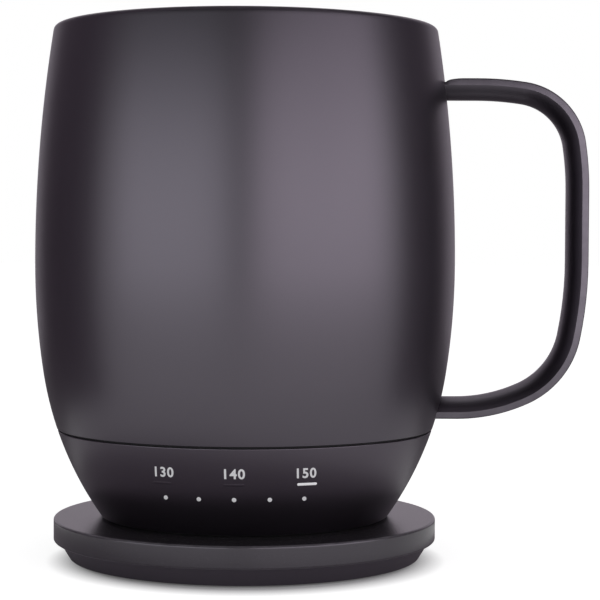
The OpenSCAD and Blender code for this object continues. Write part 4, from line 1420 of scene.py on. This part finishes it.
@dataclass
class Coaster:
    """Charging coaster: upper plate, tray, foot pad, cord gland and sprung charge pins."""

    height: float
    radius: float = 42.3
    wall: float = 1.6
    edge_r: float = 0.5
    skirt_round: float = 0.35
    parting: float = 4.2
    tray_low: float = 0.4
    tray_taper: float = 3.5
    tray_step: float = 1.2
    pad_r: float = 36.0
    pad_t: float = 1.2
    tray_floor: float = 3.0
    lip_fit: float = 0.2
    lip_t: float = 1.3
    lip_h: float = 1.8
    pin_places: tuple[float, float] = (11.5, 19.0)
    pin_r: float = 0.55
    pin_shoulder_r: float = 0.8
    pin_shoulder_h: float = 1.1
    pin_tip: float = 9.9
    pin_hole_r: float = 1.3
    barrel_out_r: float = 1.2
    barrel_in_r: float = 0.85
    barrel_low: float = 4.8
    barrel_floor: float = 5.2
    barrel_top: float = 8.7
    collar_t: float = 0.5
    shoulder_low: float = 7.05
    pin_way: float = 0.7
    spring_coil_r: float = 0.5
    spring_wire_r: float = 0.1
    spring_turns: float = 4.0
    gland_z: float = 5.25
    gland_bore_r: float = 1.5
    gland_neck_r: float = 1.9
    gland_flange_r: float = 2.2
    gland_flange_t: float = 1.2
    gland_in_y: float = 37.6
    gland_cut: float = 60.0
    gland_rounds: tuple[float, ...] = (0.15, 0.2, 0.1, 0.05, 0.4, 0.2)
    plate_clear: float = 1.0
    plate_steps: int = 8
    under_round: float = 0.4
    hole_below: float = 1.0
    hole_above: float = 0.05
    hole_ease: float = 0.25
    hole_flare: float = 0.3
    seat_fit: float = 0.1
    seat_round: float = 0.15
    tray_round: float = 0.3
    rim_round: float = 0.1
    lip_round: float = 0.2
    pad_clear: float = 2.0
    pad_round: float = 0.35
    neck_fit: float = 0.05
    barrel_rounds: tuple[float, ...] = (0.1, 0.12, 0.08)
    pin_shoulder_round: float = 0.1
    pin_tip_share: float = 0.98
    pin_tip_steps: int = 10
    spring_air: float = 0.02

    def build(self) -> None:
        """Builds and dresses every piece of the coaster."""
        dress(self.top(), "coaster", "coaster_plastic", "coaster_top")
        dress(self.tray(), "coaster", "tray_plastic", "coaster_base")
        dress(self.pad(), "coaster", "black_silicone", "foot_pad")
        dress(self.gland(), "coaster", "black_silicone", "cord_gland")
        dress(self.barrels(), "coaster", "gold_contact", "pin_barrels")
        tree = coil_tree()
        for place, name in zip(self.pin_places, ("inner", "outer")):
            dress(self.pin(place, name), "pin_" + name, "gold_contact", "charge_pin_" + name)
            spring = dress(self.spring(tree, place, name), "coaster", "fastener_steel", "pin_spring_" + name)
            give_way(spring)

    def _gland_cutter(self) -> Piece:
        """Round cutter along the gland's axis."""
        corners = band(0.0, self.gland_neck_r, 0.0, self.gland_cut, 0.0)
        cutter = lathe("gland_cutter", rounded(corners), steps=HOLE_STEPS)
        cutter.data.transform(self._gland_place())
        return cutter

    def _gland_place(self) -> Matrix:
        """Turn and place that lay a lathed piece along the gland's axis."""
        lifted = Matrix.Translation(Vector((0.0, 0.0, self.gland_z * MM)))
        return lifted @ Matrix.Rotation(-math.pi / 2, 4, "X")

    def top(self) -> Piece:
        """Upper plate and skirt, with the pins' holes and the gland's hole."""
        inner_r = self.radius - self.wall
        under = self.height - self.wall
        corners = [
            (0.0, self.height, 0.0),
            (inner_r - self.plate_clear, self.height, 0.0),
            (self.radius, self.height, self.edge_r),
            (self.radius, self.parting, self.skirt_round),
            (inner_r, self.parting, 0.0),
            (inner_r, under, self.under_round),
            (0.0, under, 0.0),
        ]
        plate = lathe("coaster_plate", rounded(corners, self.plate_steps))
        cutters = [self._gland_cutter()]
        low, high = under - self.hole_below, self.height + self.hole_above
        corners = [
            (0.0, low, 0.0),
            (self.pin_hole_r, low, 0.0),
            (self.pin_hole_r, self.height - self.hole_ease, 0.0),
            (self.pin_hole_r + self.hole_flare, high, 0.0),
            (0.0, high, 0.0),
        ]
        for place in self.pin_places:
            cutters.append(along_y(lathe("pin_hole", rounded(corners), steps=HOLE_STEPS), place))
        return cut_holes(plate, cutters)

    def tray(self) -> Piece:
        """Tray that slants in to the table, with its locating lip and the pad's seat."""
        rim_r = self.radius - self.tray_step
        foot_r = self.radius - self.tray_taper
        lip_r = self.radius - self.wall - self.lip_fit
        seat_r = self.pad_r + self.seat_fit
        corners = [
            (0.0, self.pad_t, 0.0),
            (seat_r, self.pad_t, 0.0),
            (seat_r, self.tray_low, self.seat_round),
            (foot_r, self.tray_low, self.tray_round),
            (rim_r, self.parting, self.rim_round),
            (lip_r, self.parting, 0.0),
            (lip_r, self.parting + self.lip_h, self.lip_round),
            (lip_r - self.lip_t, self.parting + self.lip_h, self.lip_round),
            (lip_r - self.lip_t, self.tray_floor, 0.0),
            (0.0, self.tray_floor, 0.0),
        ]
        return cut_holes(lathe("coaster_tray", rounded(corners)), [self._gland_cutter()])

    def pad(self) -> Piece:
        """Foot pad with a rounded edge."""
        corners = [
            (0.0, 0.0, 0.0),
            (self.pad_r - self.pad_clear, 0.0, 0.0),
            (self.pad_r, 0.0, self.pad_round),
            (self.pad_r, self.pad_t, 0.0),
            (0.0, self.pad_t, 0.0),
        ]
        return lathe("coaster_pad", rounded(corners))

    def gland(self) -> Piece:
        """Cord gland with a flange on each side of the wall."""
        low, high = self.gland_in_y, self.radius + self.gland_flange_t
        bore_in, face_in, neck_in, neck_out, face_out, bore_out = self.gland_rounds
        corners = [
            (self.gland_bore_r, low, bore_in),
            (self.gland_flange_r, low, face_in),
            (self.gland_flange_r, low + self.gland_flange_t, neck_in),
            (self.gland_neck_r, low + self.gland_flange_t, 0.0),
            (self.gland_neck_r, self.radius, 0.0),
            (self.gland_flange_r, self.radius, neck_out),
            (self.gland_flange_r, high, face_out),
            (self.gland_bore_r, high, bore_out),
        ]
        made = lathe("gland_sleeve", rounded(corners), steps=HOLE_STEPS)
        made.data.transform(self._gland_place())
        return made

    def barrels(self) -> Piece:
        """Both pin barrels, open at the collar."""
        collar_low = self.barrel_top - self.collar_t
        neck_r = self.pin_r + self.neck_fit
        low_round, top_round, neck_round = self.barrel_rounds
        corners = [
            (0.0, self.barrel_low, 0.0),
            (self.barrel_out_r, self.barrel_low, low_round),
            (self.barrel_out_r, self.barrel_top, top_round),
            (neck_r, self.barrel_top, neck_round),
            (neck_r, collar_low, 0.0),
            (self.barrel_in_r, collar_low, 0.0),
            (self.barrel_in_r, self.barrel_floor, 0.0),
            (0.0, self.barrel_floor, 0.0),
        ]
        parts = []
        for place in self.pin_places:
            parts.append(along_y(lathe("barrel_part", rounded(corners), steps=PIN_STEPS), place))
        return joined("pin_sleeves", parts)

    def pin(self, place: float, name: str) -> Piece:
        """Charge pin with a round tip.

        Args:
            place: distance from the axis.
            name: which pin.

        Returns:
            The pin.
        """
        shoulder_top = self.shoulder_low + self.pin_shoulder_h
        corners = [
            (0.0, self.shoulder_low, 0.0),
            (self.pin_shoulder_r, self.shoulder_low, self.pin_shoulder_round),
            (self.pin_shoulder_r, shoulder_top, self.pin_shoulder_round),
            (self.pin_r, shoulder_top, 0.0),
            (self.pin_r, self.pin_tip, self.pin_r * self.pin_tip_share),
            (0.0, self.pin_tip, 0.0),
        ]
        made = lathe("pin_" + name + "_tip", rounded(corners, self.pin_tip_steps), steps=PIN_STEPS)
        return along_y(made, place)

    def spring(self, tree: Tree, place: float, name: str) -> Piece:
        """Spring under a pin's shoulder.

        Args:
            tree: tree that winds it.
            place: distance from the axis.
            name: which spring.

        Returns:
            The spring.
        """
        air = self.spring_wire_r + self.spring_air
        low = self.barrel_floor + air
        values = {
            "Coil radius": self.spring_coil_r * MM,
            "Wire radius": self.spring_wire_r * MM,
            "Turns": self.spring_turns,
            "Height": (self.shoulder_low - air - low) * MM,
            "Place": Vector((0.0, place, low)) * MM,
        }
        return grown("spring_" + name, tree, values, "fastener_steel")


class Internals:
    """Pieces inside the mug and the coaster, which keep their solids and get their finishes."""

    def build(self) -> None:
        """Gives every node that is still shown the material of its slot."""
        for part in frame["record"]["subparts"]:
            node = frame["nodes"][part["node"]]
            if node.hide_render:
                continue
            for slot in node.material_slots:
                slot.material = FINISHES[part["material_slot"]].material()
            LOG.info("%s keeps its solid", part["node"])


def stage_face(
    name: str,
    corners: Sequence[Corner],
    colour: Colour,
) -> tuple[Piece, Tree, Node]:
    """Makes one flat matt face that stands on the stage.

    Args:
        name: name of the face.
        corners: its corners, in order.
        colour: its colour.

    Returns:
        The object, and the tree and the shader of its material.
    """
    mesh = bpy.data.meshes.new(name)
    mesh.from_pydata([Vector(corner) * MM for corner in corners], [], [range(len(corners))])
    made = new_object(name, mesh)
    paint, shader = new_material(name + "_paint")
    fill(paint.node_tree, shader, {"Base Color": (*colour, 1.0), **MATT})
    mesh.materials.append(paint)
    return made, paint.node_tree, shader


def seen_share(tree: Tree, shine: float) -> Socket:
    """Adds a share that is 1 for what the camera sees.

    Args:
        tree: tree of a material or of the world.
        shine: share for what is mirrored or seen through glass.

    Returns:
        Socket with the share, which is 0 for all other light.
    """
    rays = tree.nodes.new("ShaderNodeLightPath").outputs
    highest = rays["Is Camera Ray"]
    for name in ("Is Glossy Ray", "Is Transmission Ray"):
        mirrored = add_node(tree, "ShaderNodeMath", {0: rays[name], 1: shine}, operation="MULTIPLY")
        pair = {0: highest, 1: mirrored.outputs[0]}
        highest = add_node(tree, "ShaderNodeMath", pair, operation="MAXIMUM").outputs[0]
    return highest


@dataclass(frozen=True)
class Card:
    """Plain card that only reflections see."""

    name: str
    corners: Sequence[Corner]
    colour: Colour

    def place(self) -> None:
        """Makes the card, paints it and hides it from everything but reflections."""
        made, _, _ = stage_face(self.name, self.corners, self.colour)
        made.visible_camera = False
        made.visible_diffuse = False
        made.visible_shadow = False
        made.visible_transmission = False


@dataclass
class Studio:
    """Camera, floor, white surround, softboxes and cards."""

    camera_place: tuple[float, float, float] = (24.48, -407.2, 71.34)
    camera_heading: float = 1.743
    camera_pitch: float = 2.013
    camera_roll: float = 0.262
    lens: float = 110.16
    sensor: float = 36.0
    clip: Spot = (0.01, 50.0)
    floor_size: float = 8000.0
    floor_tone: float = 0.72
    floor_glow: float = 0.75
    floor_shine: float = 0.45
    # Painted contact shadow: round this middle, the floor's glow drops to a low level between these two radii
    painted_shadow_middle: Spot = (0.5, -3.5)
    painted_shadow_near: float = 36.5
    painted_shadow_far: float = 44.0
    painted_shadow_glow: float = 0.08
    surround_fill: float = 0.42
    box_reach: float = 750.0
    box_low: float = 10.0
    left_high: float = 350.0
    right_high: float = 470.0
    left_span: tuple[float, float] = (-66.0, -6.0)
    right_span: tuple[float, float] = (8.0, 82.0)
    left_level: float = 1.06
    right_level: float = 1.32
    left_tint: Colour = (0.93, 0.96, 1.0)
    right_tint: Colour = (0.99, 0.93, 1.0)
    uprights: tuple[CardRow, ...] = (
        ("left_card", (-130.0, -53.0), (-130.0, 95.0), (0.33, 0.275, 0.33)),
        ("right_card", (130.0, -25.0), (130.0, 95.0), (0.34, 0.285, 0.34)),
        ("camera_card", (-54.0, -760.0), (76.0, -760.0), (0.15, 0.15, 0.15)),
        ("back_card", (-600.0, 400.0), (500.0, 400.0), (0.92, 0.84, 0.92)),
    )
    low_cards: tuple[CardRow, ...] = (
        ("back_floor", (-600.0, 45.0), (500.0, 400.0), (0.30, 0.27, 0.30)),
    )
    high_cards: tuple[CardRow, ...] = (
        ("overhead_card", (-1500.0, -1500.0), (1500.0, -330.0), (0.01, 0.01, 0.01)),
        ("ceiling_card", (-1500.0, -330.0), (1500.0, 250.0), (0.45, 0.42, 0.45)),
    )
    # Grey disc that only reflections see, round the coaster: painted shade of the floor near it, where the
    # coat and the tray mirror the floor
    floor_shade_card_r: float = 69.0
    floor_shade_card_x: float = -10.0
    ground_z: float = 0.05
    ground_step: int = 4
    floor_shade_card_colour: Colour = (0.47, 0.42, 0.47)

    def build(self) -> None:
        """Sets up the whole studio."""
        scene = bpy.context.scene
        scene.view_settings.view_transform = "Standard"
        self.camera()
        self.surround()
        self.floor()
        self.softbox(self.left_span, self.left_high, self.left_level, self.left_tint)
        self.softbox(self.right_span, self.right_high, self.right_level, self.right_tint)
        for card in self.cards():
            card.place()

    def cards(self) -> list[Card]:
        """Cards whose reflections shape the dark and the grey parts of the coat, and a disc of painted floor
        shade round the coaster.

        Returns:
            Upright cards first, then the level ones.
        """
        made = []
        high = self.right_high
        for name, start, end, colour in self.uprights:
            made.append(Card(name, [(*start, 0.0), (*end, 0.0), (*end, high), (*start, high)], colour))
        for z, rows in ((self.ground_z, self.low_cards), (high, self.high_cards)):
            for name, (left, front), (right, back), colour in rows:
                corners = [(left, front, z), (right, front, z), (right, back, z), (left, back, z)]
                made.append(Card(name, corners, colour))
        # Painted floor shade in the reflections, round the coaster
        disc = []
        for angle in range(0, 360, self.ground_step):
            turn = math.radians(angle)
            x, y = self.floor_shade_card_x + self.floor_shade_card_r * math.cos(turn), self.floor_shade_card_r * math.sin(turn)
            disc.append((x, y, 2 * self.ground_z))
        made.append(Card("ground_card", disc, self.floor_shade_card_colour))
        return made

    def camera(self) -> None:
        """Camera at the photograph's place."""
        data = bpy.data.cameras.new("camera")
        data.lens = self.lens
        data.sensor_width = self.sensor
        data.clip_start, data.clip_end = self.clip
        made = bpy.data.objects.new("camera", data)
        made.location = Vector(self.camera_place) * MM
        turn = Matrix.Rotation(math.radians(self.camera_heading), 3, "Z")
        turn @= Matrix.Rotation(math.radians(90.0 - self.camera_pitch), 3, "X")
        turn @= Matrix.Rotation(math.radians(self.camera_roll), 3, "Z")
        made.rotation_euler = turn.to_euler()
        bpy.context.scene.collection.objects.link(made)
        bpy.context.scene.camera = made

    def surround(self) -> None:
        """White world for what the camera and shiny surfaces see, and a plain fill for the rest."""
        world = bpy.data.worlds.new("surround")
        world.use_nodes = True
        tree = world.node_tree
        level = add_node(tree, "ShaderNodeMapRange", {
            "Value": seen_share(tree, 1.0), "To Min": self.surround_fill, "To Max": 1.0})
        fill(tree, tree.nodes["Background"], {"Strength": level.outputs["Result"], "Color": WHITE})
        bpy.context.scene.world = world

    def floor(self) -> None:
        """Pale floor that reads white to the camera, keeps the shadow and has a painted contact shadow round
        the coaster.
        """
        half = self.floor_size / 2
        corners = [(-half, -half, 0.0), (half, -half, 0.0), (half, half, 0.0), (-half, half, 0.0)]
        _, tree, shader = stage_face("floor", corners, (self.floor_tone,) * 3)
        shares = {0: seen_share(tree, self.floor_shine), 1: self._floor_glow_with_painted_shadow(tree)}
        level = add_node(tree, "ShaderNodeMath", shares, operation="MULTIPLY")
        fill(tree, shader, {"Emission Color": WHITE, "Emission Strength": level.outputs[0]})

    def _floor_glow_with_painted_shadow(self, tree: Tree) -> Socket:
        """Adds the floor's own glow, which is lowered near the coaster into a painted contact shadow that
        adds to the real one.

        Args:
            tree: tree of the floor's material.

        Returns:
            Socket with the glow.
        """
        place = tree.nodes.new("ShaderNodeTexCoord").outputs["Object"]
        middle = (self.painted_shadow_middle[0] * MM, self.painted_shadow_middle[1] * MM, 0.0)
        offset = add_node(tree, "ShaderNodeVectorMath", {0: place, 1: middle}, operation="DISTANCE")
        # Painted shadow: the glow falls towards the coaster
        fade = add_node(tree, "ShaderNodeMapRange", {
            "Value": offset.outputs["Value"],
            "From Min": self.painted_shadow_near * MM,
            "From Max": self.painted_shadow_far * MM,
            "To Min": self.painted_shadow_glow,
            "To Max": self.floor_glow,
        })
        return fade.outputs["Result"]

    def softbox(self, span: tuple[float, float], high: float, level: float, tint: Colour) -> None:
        """Large soft lamp in front of one side.

        Args:
            span: angles from the front that it covers.
            high: height of its upper edge.
            level: brightness of its face, where 1 is white.
            tint: colour of its light.
        """
        data = bpy.data.lights.new("softbox", "AREA")
        data.shape = "RECTANGLE"
        data.size = 2 * self.box_reach * math.tan(math.radians(span[1] - span[0]) / 2) * MM
        data.size_y = (high - self.box_low) * MM
        data.energy = level * math.pi * data.size * data.size_y
        data.color = tint
        made = bpy.data.objects.new("softbox", data)
        turn = math.radians(sum(span) / 2)
        middle = (self.box_low + high) / 2
        place = Vector((math.sin(turn) * self.box_reach, -math.cos(turn) * self.box_reach, middle)) * MM
        made.location = place
        aim = Vector((0.0, 0.0, middle * MM)) - place
        made.rotation_euler = aim.to_track_quat("-Z", "Y").to_euler()
        bpy.context.scene.collection.objects.link(made)


def main() -> None:
    """Builds the whole scene."""
    logging.basicConfig(level=logging.INFO, format="%(name)s: %(message)s")
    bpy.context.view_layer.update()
    coaster_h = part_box("coaster_top")[1].z / MM
    mug_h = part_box("outer_shell")[1].z / MM - coaster_h
    barrel = Barrel()
    Studio().build()
    Coaster(height=coaster_h).build()
    MugBase(barrel=barrel, lift=coaster_h).build()
    MugBody(barrel=barrel, lift=coaster_h, height=mug_h).build()
    Internals().build()


if __name__ == "__main__":
    main()
